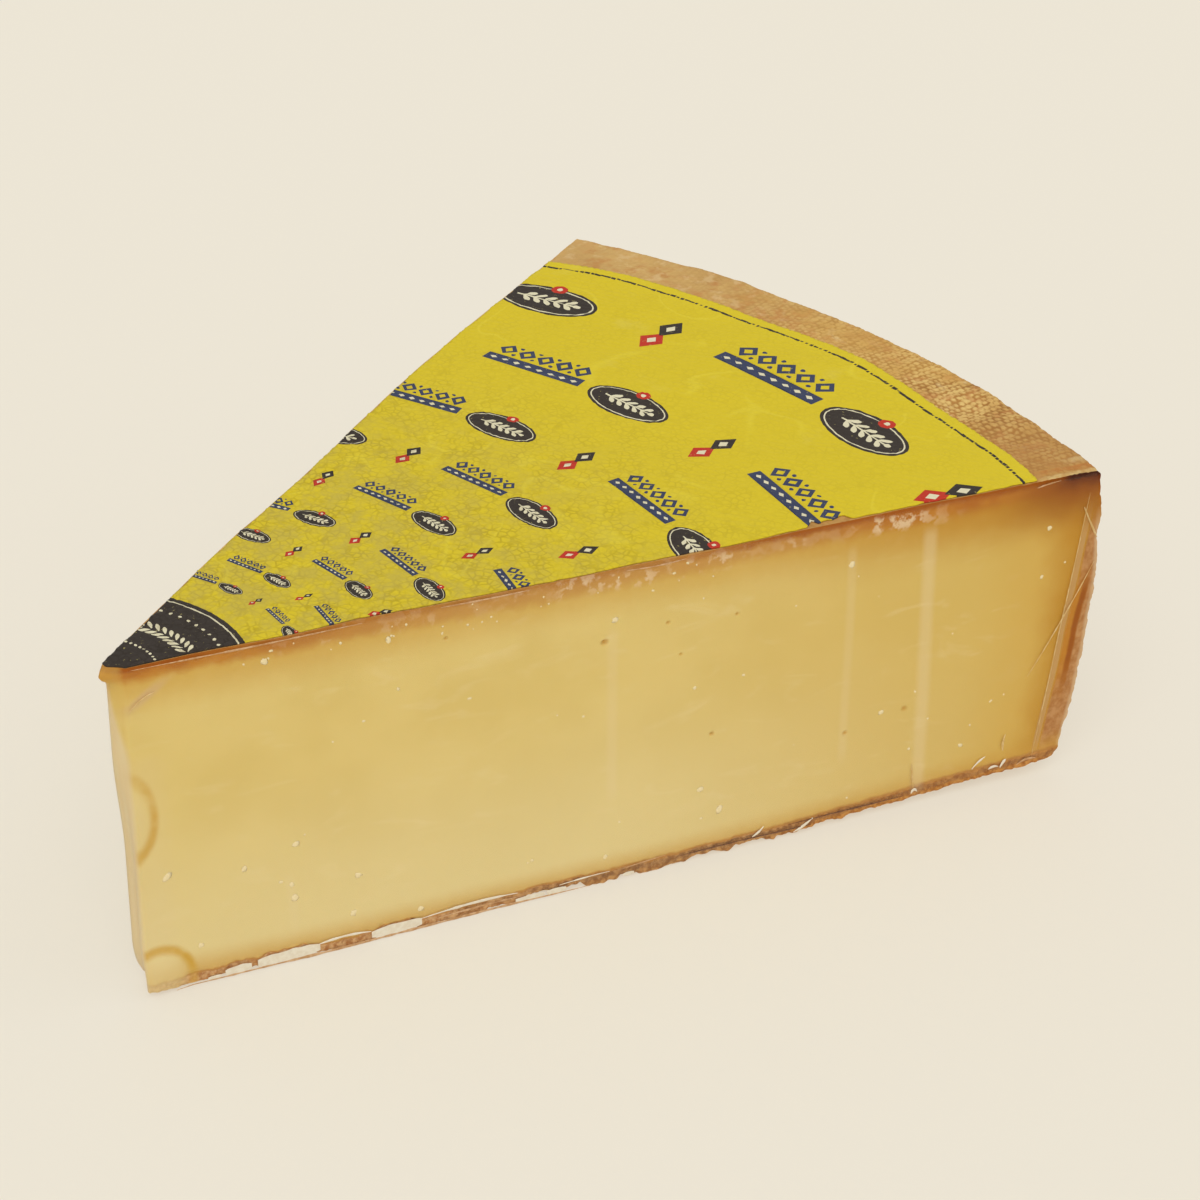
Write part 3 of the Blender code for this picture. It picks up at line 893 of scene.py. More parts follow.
def turned(points, centre, turn):
    c, s = math.cos(turn), math.sin(turn)
    return np.asarray(points) @ np.array([[c, s], [-s, c]]) + np.asarray(centre)


def polar(reach, angle):
    return reach * math.cos(angle), reach * math.sin(angle)


def ellipse(centre, half_length, half_width, count):
    around = np.linspace(0.0, 2 * math.pi, count, endpoint=False)
    return columns(half_length * np.cos(around), half_width * np.sin(around)) + centre


def rectangle(centre, half_length, half_width, turn=0.0):
    corners = [(-1, -1), (1, -1), (1, 1), (-1, 1)]
    return turned(np.array(corners, float) * (half_length, half_width), centre, turn)


def lozenge(centre, half_length, half_width):
    corners = [(-1, 0), (0, -1), (1, 0), (0, 1)]
    return np.array(corners, float) * (half_length, half_width) + centre


def petal(foot, length, half_width, turn):
    """A drop shape that grows from its foot and is widest past its middle."""
    share = np.array([0.0, 0.2, 0.45, 0.7, 0.9, 1.0])
    width = half_width * np.array([0.22, 0.55, 0.92, 1.0, 0.6, 0.0])
    right = columns(share * length, width)
    left = columns(share[-2::-1] * length, -width[-2::-1])
    return turned(np.concatenate([right, left])[::-1], foot, turn)


def banner():
    """A navy bar with cream lozenges beside a row of open navy lozenges and dots."""
    row, step = 8.4, 8.0
    shapes = [(rectangle((0, 0), 20.5, 2.8), NAVY)]
    for count in range(8):
        shapes.append((lozenge((4.9 * count - 17.15, 0), 1.5, 1.0), CREAM))
    for count in range(5):
        middle = (step * count - 16.0, row)
        shapes.append((lozenge(middle, 3.7, 4.4), NAVY))
        shapes.append((lozenge(middle, 1.6, 2.0), PAPER))
    for count in range(4):
        for side in (-1, 1):
            shapes.append((ellipse((step * count - 12.0, row + 3.2 * side), 0.85, 0.85, 10), NAVY))
    return shapes


def sprig():
    """A charcoal oval with a cream ring, a leafy sprig and a small red dot."""
    shapes = [
        (ellipse((0, 0), 17.5, 9.4, 64), CHARCOAL),
        (ellipse((0, 0), 16.3, 8.3, 60), CREAM),
        (ellipse((0, 0), 15.8, 7.8, 60), CHARCOAL),
        (rectangle((0, 0), 10.5, 0.32), CREAM),
    ]
    for count in range(5):
        foot = 3.6 * count - 8.0
        for side in (-1, 1):
            shapes.append((petal((foot, 0.2 * side), 4.4, 0.95, side * math.radians(42)), CREAM))
    shapes.append((ellipse((10.8, 0), 1.3, 1.0, 12), CREAM))
    shapes.append((ellipse((0, 8.8), 2.7, 2.7, 18), RED))
    shapes.append((ellipse((0, 8.8), 1.0, 1.0, 10), CREAM))
    return shapes


def flower():
    """A red lozenge beside a charcoal one, each with a cream heart."""
    shapes = []
    for middle, ink in ((-5.2, RED), (5.2, CHARCOAL)):
        shapes.append((lozenge((middle, 0), 6.4, 4.2), ink))
        shapes.append((lozenge((middle, 0), 2.4, 1.6), CREAM))
    return shapes


def placed(shapes, reach, angle, size, turn):
    """Puts a motif on the label, its first direction running round the wheel and its second outwards."""
    centre = polar(reach, angle)
    return [(turned(points * size, centre, angle - math.pi / 2 + turn)[::-1], ink) for points, ink in shapes]


def centre_disc():
    """A charcoal disc round the wheel's axis, with a thin cream ring, dots and a leafy garland."""
    shapes = []
    for inset, ink in ((0.0, CHARCOAL), (DISC_RING_INSET, CREAM), (DISC_RING_INSET + DISC_RING, CHARCOAL)):
        shapes.append((ellipse((0, 0), DISC_REACH - inset, DISC_REACH - inset, 260), ink))
    for count in range(-4, 5):
        angle = DISC_STEP * count
        for side in (-1, 1):
            leaf = petal(polar(25.0 + 0.3 * side, angle), 3.1, 0.55, angle + math.pi / 2 - 0.75 * side)
            shapes.append((leaf, CREAM))
        shapes.append((ellipse(polar(33.5, angle), 0.5, 0.5, 8), CREAM))
        shapes.append((ellipse(polar(16.5, angle), 0.4, 0.4, 8), CREAM))
    return shapes


def edge_marks():
    """A line of short charcoal marks of uneven length along the label's outer end."""
    draws = np.random.default_rng(EDGE_MARK_SEED)
    shapes = []
    for share in (np.arange(EDGE_MARKS) + 0.5) / EDGE_MARKS:
        reach = label_end(share) - EDGE_MARK_INSET + draws.uniform(-0.15, 0.15)
        angle = (share - 0.5) * CUT_ANGLE
        half_length = draws.uniform(0.4, 1.3)
        half_width = draws.uniform(0.35, 0.65)
        shapes.append((rectangle(polar(reach, angle), half_length, half_width, angle + math.pi / 2), CHARCOAL))
    return shapes


def printed():
    """Every printed shape on the label as (outline in plan, ink), later ones over earlier ones."""
    motifs = ((banner(), 0.0), (flower(), math.pi / 2), (sprig(), 0.0))
    shapes = []
    for ring in range(RINGS):
        size = RING_SHRINK**ring
        for step in range(-RING_STEPS, RING_STEPS + 1):
            angle = RING_STEP * step + RING_SHIFT * (ring % 2) - RING_TURN
            motif, turn = motifs[(step + 2 * ring) % len(motifs)]
            shapes += placed(motif, RING_REACH * size, angle, size, turn)
    return shapes + centre_disc() + edge_marks()


def label_outline():
    """The paper's outline in plan: ragged along the cut sides, with a torn place on the near one."""
    across = spaced(1.0, 0.0, TIP_ACROSS_SPACING)
    tip = columns(tip_reach(HEIGHT, across) + LABEL_TIP_INSET, across)
    near = spaced(tip[-1, 0], label_end(0.0), LABEL_EDGE_SPACING)[1:-1]
    rags = RAG + NEAR_RAG * mottled_line(near, NEAR_RAGS) * mottled_line(near, NEAR_RAG_PATCHES)
    torn = ease((near - TEAR_FROM) / 2.0) - ease((near - TEAR_TO) / 2.5)
    inset = rags * ease(near / RAG_FULL_AT) + TEAR * torn * (0.4 + mottled_line(near, TEAR_RAGS))
    across = spaced(0.0, 1.0, LABEL_EDGE_SPACING / (CUT_ANGLE * LABEL_REACH))
    end = columns(label_end(across) + END_RAG * (mottled_line(across * 300.0, END_RAGS) - 0.5), across)
    corner = LABEL_CORNER_INSET / (LABEL_REACH * CUT_ANGLE)
    end[[0, -1], 1] = (corner, 1.0 - corner)
    far = spaced(label_end(1.0), tip_reach(HEIGHT, 1.0), LABEL_EDGE_SPACING)[1:-1]
    far_inset = (RAG + FAR_RAG * mottled_line(far, FAR_RAGS)) * ease(far / RAG_FULL_AT)
    near = columns(near, inset / (near * CUT_ANGLE))
    far = columns(far, 1.0 - far_inset / (far * CUT_ANGLE))
    return plan_spot(np.concatenate([near, end, far, tip]))


def dense(outline, spacing):
    """Points along a closed outline no further apart than a spacing."""
    found = []
    for start, end in zip(outline, np.roll(outline, -1, axis=0)):
        steps = max(1, int(math.ceil(np.hypot(*(end - start)) / spacing)))
        found.append(start + (end - start) * (np.arange(steps) / steps)[:, None])
    return np.concatenate(found)


def clear_of(points, outlines, distance):
    """The points that keep a distance from every outline."""
    marks = np.concatenate([dense(outline, distance) for outline in outlines])
    tree = kdtree.KDTree(len(marks))
    for index, mark in enumerate(marks):
        tree.insert((mark[0], mark[1], 0.0), index)
    tree.balance()
    away = np.array([tree.find((x, y, 0.0))[2] for x, y in points])
    return points[away > distance]


def steps_round(face):
    """The edges of a face, or of a closed loop of corners, in order."""
    return zip(face, face[1:] + face[:1])


def border(faces):
    """Corners round the open edge of a triangulated region, in order."""
    edges = {step: None for face in faces for step in steps_round(face)}
    following = {start: end for start, end in edges if (end, start) not in edges}
    loop = [next(iter(following))]
    while following[loop[-1]] != loop[0]:
        loop.append(following[loop[-1]])
    return loop


def label_place(x, y):
    """Where the label's underside lies, from its flat plan, with the cloth's print and the paper's swelling."""
    reach, across = plan_shares(x, y)
    px, py = plan_place(reach, across, HEIGHT)
    c, s = LABEL_CLOTH_TURN
    weave = cloth(c * x + s * y, c * y - s * x, LABEL_WEAVE)
    swell = mottle(x, y, *LABEL_SWELLS) + 0.4 * mottle(x, y, *LABEL_DIMPLES)
    return columns(px, py, top_height(px, py) + LABEL_LIFT), weave, swell


def rim_faces(loop, below):
    """Quads that join the loop of corners round the top to the corners below them."""
    return [(end, start, below[start], below[end]) for start, end in steps_round(loop)]


def make_label(inks):
    outline = label_outline()
    shapes = printed()
    inset = [points for points, _ in shapes]
    low, high = outline.min(0), outline.max(0)
    is_inside = inside_of(outline)
    inner = clear_of(lattice(low, high, LABEL_SPACING, is_inside), [outline] + inset, LABEL_CLEARANCE)
    flat, _, faces, covers = filled([outline] + inset, inner)
    ink = [shapes[cover - 1][1] if cover else PAPER for cover in covers]
    loop = border(faces)
    inner = clear_of(lattice(low, high, HIDDEN_SPACING, is_inside), [outline], 1.0)
    under, source, under_faces, _ = filled([flat[loop]], inner)
    top, weave, swell = label_place(*flat.T)
    top[:, 2] += LABEL_SHEET + LABEL_CLOTH_DEPTH * weave + LABEL_SWELL * swell
    bottom, under_weave, _ = label_place(*under.T)
    count = len(top)
    below = {loop[found]: count + index for index, found in enumerate(source) if 0 <= found < len(loop)}
    edge_ink = {step: tone for face, tone in zip(faces, ink) for step in steps_round(face)}
    faces += [tuple(count + corner for corner in face[::-1]) for face in under_faces]
    ink += [PAPER] * len(under_faces)
    faces += rim_faces(loop, below)
    ink += [edge_ink[step] for step in steps_round(loop)]
    mesh = new_mesh("label_sheet", np.concatenate([top, bottom]), faces)
    add_numbers(mesh, "weave", np.concatenate([weave, under_weave]))
    reach, across = plan_shares(*np.concatenate([flat, under]).T)
    add_numbers(mesh, "spot", columns(reach, across * reach * CUT_ANGLE, label_end(across) - reach))
    dress(mesh, inks, ink)
    show(mesh, "label_print", "label")


# The film

def film_place(path, up, out):
    """Path runs from the heel end of the far side (-1) round the tip to the heel end of the near side (1)."""
    side = np.abs(path)
    across = 0.5 - 0.5 * np.clip(side / FILM_TIP_SHARE, 0.0, 1.0) * np.sign(path)
    beyond = np.clip((side - FILM_TIP_SHARE) / (1.0 - FILM_TIP_SHARE), 0.0, 1.0)
    height = np.full_like(path, HEIGHT / 2)
    # Height and distance from the axis depend on each other a little, so they are settled in turns
    for _ in range(3):
        start = tip_reach(height, across)
        reach = start + (film_end(height) - start) * beyond
        lowest = underside(reach) + FILM_LOW
        height = lowest + (FILM_TOP - lowest) * up
    x, y = plan_place(reach, across, height)
    wrinkle = FILM_WRINKLE * mottle(reach * 0.5 + height * 0.2, height * 0.16 - reach * 0.05, *WRINKLES)
    away = FILM_AWAY + wrinkle + FILM_SHEET * out
    on_tip = side < FILM_TIP_SHARE + 1e-6
    on_side = side > FILM_TIP_SHARE - 1e-6
    away = away / np.where(on_tip & on_side, 1.0 - NEAR_OUT[0], 1.0)
    x = x + away * (on_side * NEAR_OUT[0] - on_tip)
    y = y + away * on_side * np.where(path > 0.0, NEAR_OUT[1], FAR_OUT[1])
    return columns(x, y, height)


def film_shell():
    """The film itself, a thin closed shell: points, quads and each quad's side."""
    side = np.linspace(FILM_TIP_SHARE, 1.0, FILM_COLUMNS)
    tip = np.linspace(-FILM_TIP_SHARE, FILM_TIP_SHARE, FILM_TIP_COLUMNS)[1:-1]
    lines = np.concatenate([-side[::-1], tip, side])
    path, up = (values.ravel() for values in np.meshgrid(lines, np.linspace(0.0, 1.0, FILM_ROWS), indexing="ij"))
    points = np.concatenate([film_place(path, up, 0.0), film_place(path, up, 1.0)])
    count, half = len(lines), len(path)
    faces, owners = [], []
    for i in range(count - 1):
        for j in range(FILM_ROWS - 1):
            a, b = i * FILM_ROWS + j, (i + 1) * FILM_ROWS + j
            faces.append((a, b, b + 1, a + 1))
            faces.append((a + half, a + half + 1, b + half + 1, b + half))
            owners += [0, 1]
    starts = [i * FILM_ROWS for i in range(count)]
    ring = starts + [starts[-1] + j for j in range(1, FILM_ROWS)]
    ring += [start + FILM_ROWS - 1 for start in starts[-2::-1]] + list(range(FILM_ROWS - 2, 0, -1))
    for a, b in steps_round(ring):
        faces.append((a, b, b + half, a + half))
        owners.append(2)
    return points, faces, owners


def near_side(reach, height, away):
    """Places on the near cut side, a distance out from it."""
    x, y = plan_place(reach, np.zeros_like(reach), height)
    return columns(x + away * NEAR_OUT[0], y + away * NEAR_OUT[1], height)


def smooth_line(corners, spacing):
    """Points along a curve through a few corners."""
    corners = np.array(corners, float)
    length = np.concatenate([[0.0], np.cumsum(np.hypot(*np.diff(corners, axis=0).T))])
    where = spaced(0.0, length[-1], spacing)
    if len(corners) < 3:
        return columns(*(np.interp(where, length, part) for part in corners.T))
    power = min(len(corners) - 1, 4)
    return columns(*(np.polyval(np.polyfit(length, part, power), where) for part in corners.T))


def ribbon(corners, width, rise, blunt, rough, seed):
    """A closed low ridge on the near side with tapering ends: points, faces and each face's side."""
    line = smooth_line(corners, RIBBON_SPACING)
    along = np.gradient(line, axis=0)
    along /= np.linalg.norm(along, axis=1)[:, None]
    across = columns(-along[:, 1], along[:, 0])
    share = np.clip(np.linspace(0.0, 1.0, len(line)), 0.02, 0.98)
    uneven = 1.0 + rough * (mottled_line(line.sum(1), (RIBBON_SEED + seed, RIBBON_PITCH)) - 0.5)
    half = 0.5 * width * uneven * np.sin(math.pi * share) ** blunt
    count = len(RIBBON_PROFILE)
    rows = []
    for offset, lift in zip(np.linspace(-1.0, 1.0, count), RIBBON_PROFILE):
        spot = line + across * (half * offset)[:, None]
        rows.append(near_side(spot[:, 0], spot[:, 1], RIBBON_AWAY + rise * lift * uneven))
    points = np.stack(rows, 1).reshape(-1, 3)
    faces, owners = [], []
    for first in range(0, len(points) - count, count):
        second = first + count
        for j in range(count - 1):
            faces.append((first + j, first + j + 1, second + j + 1, second + j))
        faces.append((first, second, second + count - 1, first + count - 1))
        owners += [0] * (count - 1) + [1]
    last = len(points) - count
    faces += [tuple(range(count)), tuple(range(last, last + count))]
    return points, faces, owners + [2, 2]


def make_film(clear, creases):
    pieces = [(*film_shell(), 0)]
    # Creases, coloured with painted highlights
    for count, (corners, width, rise, tint) in enumerate(CREASES):
        pieces.append((*ribbon(corners, width, rise, CREASE_BLUNTNESS, CREASE_ROUGHNESS, count), 1 + tint))
    # Pale film over the gaps, a painted glare over the shade inside them
    for count, (start, end, height) in enumerate(GAPS):
        corners = ((start, GAP_LOW + 0.45 * height), (end, GAP_LOW + 0.55 * height))
        pieces.append((*ribbon(corners, height, GAP_RISE, GAP_BLUNTNESS, GAP_ROUGHNESS, count), 1 + PALE_HIGHLIGHT))
    start = 0
    all_points, all_faces, all_owners, slots = [], [], [], []
    for points, faces, owners, slot in pieces:
        all_points.append(points)
        all_faces += [tuple(start + corner for corner in face) for face in faces]
        all_owners += owners
        slots += [slot] * len(faces)
        start += len(points)
    mesh = new_mesh("film_sheet", np.concatenate(all_points), all_faces)
    dress(mesh, [clear] + creases, slots)
    sharpen(mesh, all_owners)
    film = show(mesh, "film_wrap", "film")
    film.visible_shadow = False


# Crystals

def crystal_spots(draws):
    """Distance from the axis, height, radius and side, near (0) or far (1), of every crystal."""
    spots = [(*crystal, 0.0) for crystal in CRYSTALS]
    for count, across, *ranges in MORE_CRYSTALS:
        spots += [(*(draws.uniform(*limits) for limits in ranges), across) for _ in range(count)]
    return spots


def make_crystals(material):
    """Small white crystals that sit in the cut sides, just proud of the paste."""
    draws = np.random.default_rng(CRYSTAL_SEED)
    shape = bmesh.new()
    for reach, height, radius, across in crystal_spots(draws):
        x, y = plan_place(np.array([reach]), np.array([across]), np.array([height]))
        out = NEAR_OUT if across < 0.5 else FAR_OUT
        along = Vector((out[1], -out[0], 0.0))
        facing = Matrix((along, Vector((0, 0, 1)), Vector((*out, 0.0)))).transposed().to_4x4()
        turn = Matrix.Rotation(draws.uniform(0, math.pi), 4, "Z")
        length = radius * draws.uniform(*CRYSTAL_LENGTHS)
        size = Matrix.Diagonal((length, radius, CRYSTAL_FLATNESS * radius, 1.0))
        place = (Vector((x[0], y[0], height)) + Vector(AXIS)) * METRES
        moved = Matrix.Translation(place) @ facing @ turn @ size @ Matrix.Scale(METRES, 4)
        made = bmesh.ops.create_icosphere(shape, subdivisions=2, radius=1.0, matrix=moved)
        for vertex in made["verts"]:
            vertex.co = place + (vertex.co - place) * draws.uniform(*CRYSTAL_UNEVENNESS)
    mesh = bpy.data.meshes.new("crystals")
    shape.to_mesh(mesh)
    shape.free()
    mesh.shade_smooth()
    mesh.materials.append(material)
    show(mesh, "crystals")


# Materials

def linear(red, green, blue):
    """A linear colour from sRGB values of 0 to 255."""
    values = [value / 255 for value in (red, green, blue)]
    return tuple(((v + 0.055) / 1.055) ** 2.4 if v > 0.04045 else v / 12.92 for v in values) + (1.0,)


# Colours of the paste, inwards from its middle to where the rind is cut through, with a painted reflection of the
# floor low down, painted shade in the eyes and a painted shadow under the rim's lip
PASTE = linear(220, 194, 118)
PASTE_CLOUD = linear(215, 188, 110)
PASTE_FLOOR_REFLECTION = linear(222, 202, 142)
PASTE_DEEP = linear(207, 172, 84)
PASTE_WISP = linear(228, 208, 152)
EYE_SHADE = linear(190, 138, 48)
HEEL_GOLD = linear(207, 167, 78)
HEEL_BROWN = linear(186, 132, 34)
CRUST_DARK = linear(168, 112, 60)
CRUST_LIGHT = linear(190, 140, 88)
CRUST_EDGE = linear(206, 174, 134)
BARE_BROWN = linear(188, 124, 38)
GULLY_BROWN = linear(150, 80, 24)
FOLD_TAN = linear(190, 148, 92)
TOP_GOLD = linear(200, 152, 56)
TOP_DEEP = linear(186, 130, 32)
TOP_BROWN = linear(186, 118, 34)
TOP_DARK = linear(172, 98, 26)
TOP_PINK = linear(194, 146, 76)
TOP_BLOTCH = linear(222, 192, 150)
TOP_BURNT = linear(156, 82, 22)
CORNER_BROWN = linear(146, 78, 8)
CORNER_DARK = linear(100, 40, 6)
UNDER_RIM_SHADOW = linear(58, 22, 10)
BOTTOM_GOLD = linear(198, 150, 62)
BOTTOM_LINE = linear(180, 126, 62)
BOTTOM_MIDDLE = linear(116, 80, 52)
LIGHT_CRUMBS = (linear(168, 114, 66), linear(204, 162, 112))
BROWN_CRUMBS = (linear(146, 100, 58), linear(192, 144, 90))
RUDDY_CRUMBS = (linear(156, 98, 44), linear(196, 138, 72))

# Colours painted on the paste under the film: its sheen as pale painted highlights, its pinkish folds round the
# tip, and painted highlight and painted shade on the bulges by the tip
BAND_SHEEN = linear(226, 204, 158)
BAND_PINK = linear(206, 172, 122)
BULGE_HIGHLIGHT = linear(222, 200, 138)
BULGE_RIM_SHADE = linear(202, 158, 58)
TIP_PALE = linear(217, 197, 156)
TIP_TAN = linear(208, 172, 108)
TIP_STREAK = linear(212, 182, 138)
TIP_GOLD = linear(206, 172, 88)

# Colours of the rind, and its streaks by the near corner: middle, half width, start, strength and colour
HOLLOW = linear(176, 126, 64)
HOLLOW_DARK = linear(148, 100, 48)
BUMP = linear(222, 188, 116)
BUMP_DARK = linear(200, 156, 88)
RIND_RUDDY = linear(190, 128, 74)
RIND_FAR = linear(202, 166, 104)
RIND_BROWN = linear(184, 126, 68)
RIND_PALE = linear(222, 192, 140)
RIND_GOLD = linear(206, 162, 84)
RIND_BLOOM = linear(228, 204, 150)
RIND_SIDE = linear(216, 178, 104)
RIM_BROWN = linear(174, 124, 68)
RIM_STREAKS = (
    (0.6, 1.9, 279.0, 0.6, linear(220, 194, 132)),
    (4.0, 1.7, 281.0, 0.7, linear(184, 118, 58)),
    (8.0, 2.0, 292.0, 0.35, linear(212, 190, 138)),
)

# The label's inks in the order of their numbers, as (material, colour, whether it is printed), the tone of the
# painted shade in its grooves, and its ageing
INKS = (
    ("label_yellow", linear(213, 190, 40), False),
    ("label_navy", linear(62, 68, 92), True),
    ("label_charcoal", linear(60, 53, 47), True),
    ("label_cream", linear(222, 214, 180), True),
    ("label_red", linear(190, 56, 40), True),
)
GROOVE_SHADE_TONE = (0.55, 0.5, 0.4, 1.0)
INK_FAULT = linear(200, 186, 110)
PAPER_EDGE = linear(218, 197, 40)
PAPER_WORN = linear(220, 204, 104)
PAPER_OLIVE = linear(182, 164, 78)
PAPER_FOLD = linear(230, 214, 70)

# Colours of the crystals, the film and its creases in the order of their numbers (pale and cloudy are painted
# highlights, tan is painted highlight and the film's edge), and the stage
CRYSTAL_CREAM = linear(228, 206, 152)
CRYSTAL_WHITE = linear(236, 220, 176)
FILM_TINT = linear(238, 222, 190)
CREASE_TINTS = (
    ("highlight_pale", linear(230, 221, 200), linear(222, 210, 186)),
    ("highlight_cloudy", linear(218, 190, 134), linear(200, 162, 96)),
    ("tan_film_edge_and_highlight", linear(208, 170, 128), linear(182, 136, 88)),
    ("crease_brown", linear(120, 82, 54), linear(96, 62, 42)),
)
FLOOR_CREAM = linear(236, 229, 213)
WORLD_WHITE = linear(250, 250, 250)
SUN_TINT = (1.0, 0.99, 0.98)


class Value:
    """A number or a colour that a material works out. Sums with it add the nodes that they need."""

    def __init__(self, look, socket):
        self.look = look
        self.socket = socket

    def __add__(self, other):
        return self.look.math("ADD", self, other)

    def __sub__(self, other):
        return self.look.math("SUBTRACT", self, other)

    def __rsub__(self, other):
        return self.look.math("SUBTRACT", other, self)

    def __mul__(self, other):
        return self.look.math("MULTIPLY", self, other)

    def __truediv__(self, other):
        return self.look.math("DIVIDE", self, other)

    def __abs__(self):
        return self.look.math("ABSOLUTE", self)

    def root(self):
        return self.look.math("SQRT", self)

    def at_least(self, other):
        return self.look.math("MAXIMUM", self, other)

    def fade(self, start, end, low=0.0, high=1.0):
        """Goes smoothly from low at start to high at end."""
        feeds = {"Value": self, "From Min": start, "From Max": end, "To Min": low, "To Max": high}
        return self.look.node("ShaderNodeMapRange", feeds, "Result", interpolation_type="SMOOTHSTEP")

    def band(self, start, full_from, full_to, end):
        """Goes smoothly from 0 at start to 1 and back to 0 at end."""
        return self.fade(start, full_from) * self.fade(end, full_to)


class Look:
    """A material under construction, painted over its first colour; most methods add a node and give its output."""

    def __init__(self, name, colour, roughness, **settings):
        self.material = bpy.data.materials.new(name)
        self.material.use_nodes = True
        self.tree = self.material.node_tree
        self.shader = self.tree.nodes["Principled BSDF"]
        self.shader.inputs["Roughness"].default_value = roughness
        for socket, value in settings.items():
            self.shader.inputs[socket.replace("_", " ")].default_value = value
        self.colour = colour
        self.place = self.node("ShaderNodeTexCoord", {}, "Object")

    def feed(self, socket, value):
        if isinstance(value, Value):
            self.tree.links.new(value.socket, socket)
        else:
            socket.default_value = value

    def node(self, kind, feeds, output, **settings):
        node = self.tree.nodes.new(kind)
        for name, value in settings.items():
            setattr(node, name, value)
        for socket, value in feeds.items():
            self.feed(node.inputs[socket], value)
        return Value(self, node.outputs[output])

    def number(self, name):
        """A number that the mesh keeps for each point."""
        return self.node("ShaderNodeAttribute", {}, "Fac", attribute_name=name)

    def parts(self, name):
        """Three numbers that the mesh keeps for each point."""
        vector = self.node("ShaderNodeAttribute", {}, "Vector", attribute_name=name)
        return [self.node("ShaderNodeSeparateXYZ", {0: vector}, part) for part in range(3)]

    def noise(self, size, detail=2.0, roughness=0.5, distortion=0.0, stretch=None):
        """Soft random values, with features of a size in millimetres."""
        place = self.place
        if stretch:
            place = self.node("ShaderNodeMapping", {"Vector": place, "Scale": stretch}, "Vector")
        feeds = {"Vector": place, "Scale": 1.0 / (size * METRES), "Detail": detail}
        feeds |= {"Roughness": roughness, "Distortion": distortion}
        return self.node("ShaderNodeTexNoise", feeds, "Fac")

    def cells(self, size):
        """Distance to the nearest border between cells of a size in millimetres."""
        feeds = {"Vector": self.place, "Scale": 1.0 / (size * METRES)}
        return self.node("ShaderNodeTexVoronoi", feeds, "Distance", feature="DISTANCE_TO_EDGE")

    def math(self, operation, first, second=0.0):
        return self.node("ShaderNodeMath", {0: first, 1: second}, 0, operation=operation)

    def blend(self, share, first, second):
        return self.node("ShaderNodeMix", {0: share, 6: first, 7: second}, 2, data_type="RGBA")

    def paint(self, share, colour):
        """Covers a share of the colour so far with another."""
        self.colour = self.blend(share, self.colour, colour)

    def bump(self, height, strength, distance, below=None):
        feeds = {"Height": height, "Strength": strength, "Distance": distance * METRES}
        if below:
            feeds["Normal"] = below
        return self.node("ShaderNodeBump", feeds, "Normal")

    def finish(self, normal=None):
        self.feed(self.shader.inputs["Base Color"], self.colour)
        if normal:
            self.feed(self.shader.inputs["Normal"], normal)
        return self.material


def paste_material():
    """Butter-coloured paste, golden and then brown towards the rind, which shows cut through at the edges, with
    painted light and shade over it.
    """
    look = Look(
        "paste",
        PASTE,
        0.46,
        Subsurface_Weight=0.08,
        Subsurface_Scale=0.003,
        Subsurface_Radius=(1.0, 0.6, 0.25),
        Specular_IOR_Level=0.1,
    )
    top, bottom, heel = look.parts("depth")
    reach, across, height = look.parts("spot")
    fine = (look.noise(4.0, 3.0, 0.6) - 0.5) * 3.4
    paste_body(look, reach, height)
    heel_zone(look, heel, reach, height)
    top_zone(look, top + fine, reach)
    bottom_zone(look, bottom + fine * 0.5, reach)
    film_sheen_and_bulge_shading(look, reach, across, height)
    # Painted shade in the hollows of the eyes
    look.paint(look.number("dent") * 0.8, EYE_SHADE)
    tip_fold(look, reach, across, height)
    soft = look.bump(look.noise(24.0, 2.0), 0.3, 1.0)
    return look.finish(look.bump(look.noise(2.2, 3.0, 0.6), 0.05, 0.2, soft))


def paste_body(look, reach, height):
    """Paler low down, a painted reflection of the floor in the film's sheen, and deeper towards the heel, with a
    little cloudiness.
    """
    look.paint(look.noise(30.0, 3.0).fade(0.35, 0.65), PASTE_CLOUD)
    # Painted reflection of the floor in the film's sheen: paler low down
    look.paint(height.fade(78.0, 8.0) * 0.9, PASTE_FLOOR_REFLECTION)
    look.paint(reach.fade(130.0, 300.0, 0.0, 0.85), PASTE_DEEP)
    look.paint(look.noise(9.0, 3.0, 0.6, 0.8, (0.5, 0.5, 1.4)).fade(0.55, 0.75, 0.0, 0.25), PASTE_WISP)


def heel_zone(look, heel, reach, height):
    """Golden brown towards the heel, with the crust's own colour outside the film's folded edge."""
    rough = heel + (look.noise(16.0, 3.0) - 0.5) * 10.0
    look.paint(rough.fade(46.0, 12.0, 0.0, 0.95), HEEL_GOLD)
    look.paint(rough.fade(22.0, 6.0), HEEL_BROWN)
    crust = look.blend(look.noise(2.4, 3.0, 0.6).fade(0.3, 0.7), CRUST_DARK, CRUST_LIGHT)
    crust = look.blend(heel.fade(1.8, 0.4, 0.0, 0.7), crust, CRUST_EDGE)
    beyond = reach - (height * FILM_END_SLOPE + FILM_END_LOW)
    look.paint(beyond.fade(-0.6, 0.8), crust)
    bare = height.band(24.0, 44.0, 64.0, 76.0) * 0.9
    look.paint(beyond.band(-0.6, 0.4, 3.6, 4.6) * bare, BARE_BROWN)
    look.paint(beyond.band(1.4, 2.6, 3.6, 4.8) * bare, GULLY_BROWN)
    look.paint(beyond.band(-2.9, -2.3, -0.8, -0.2) * 0.8, FOLD_TAN)


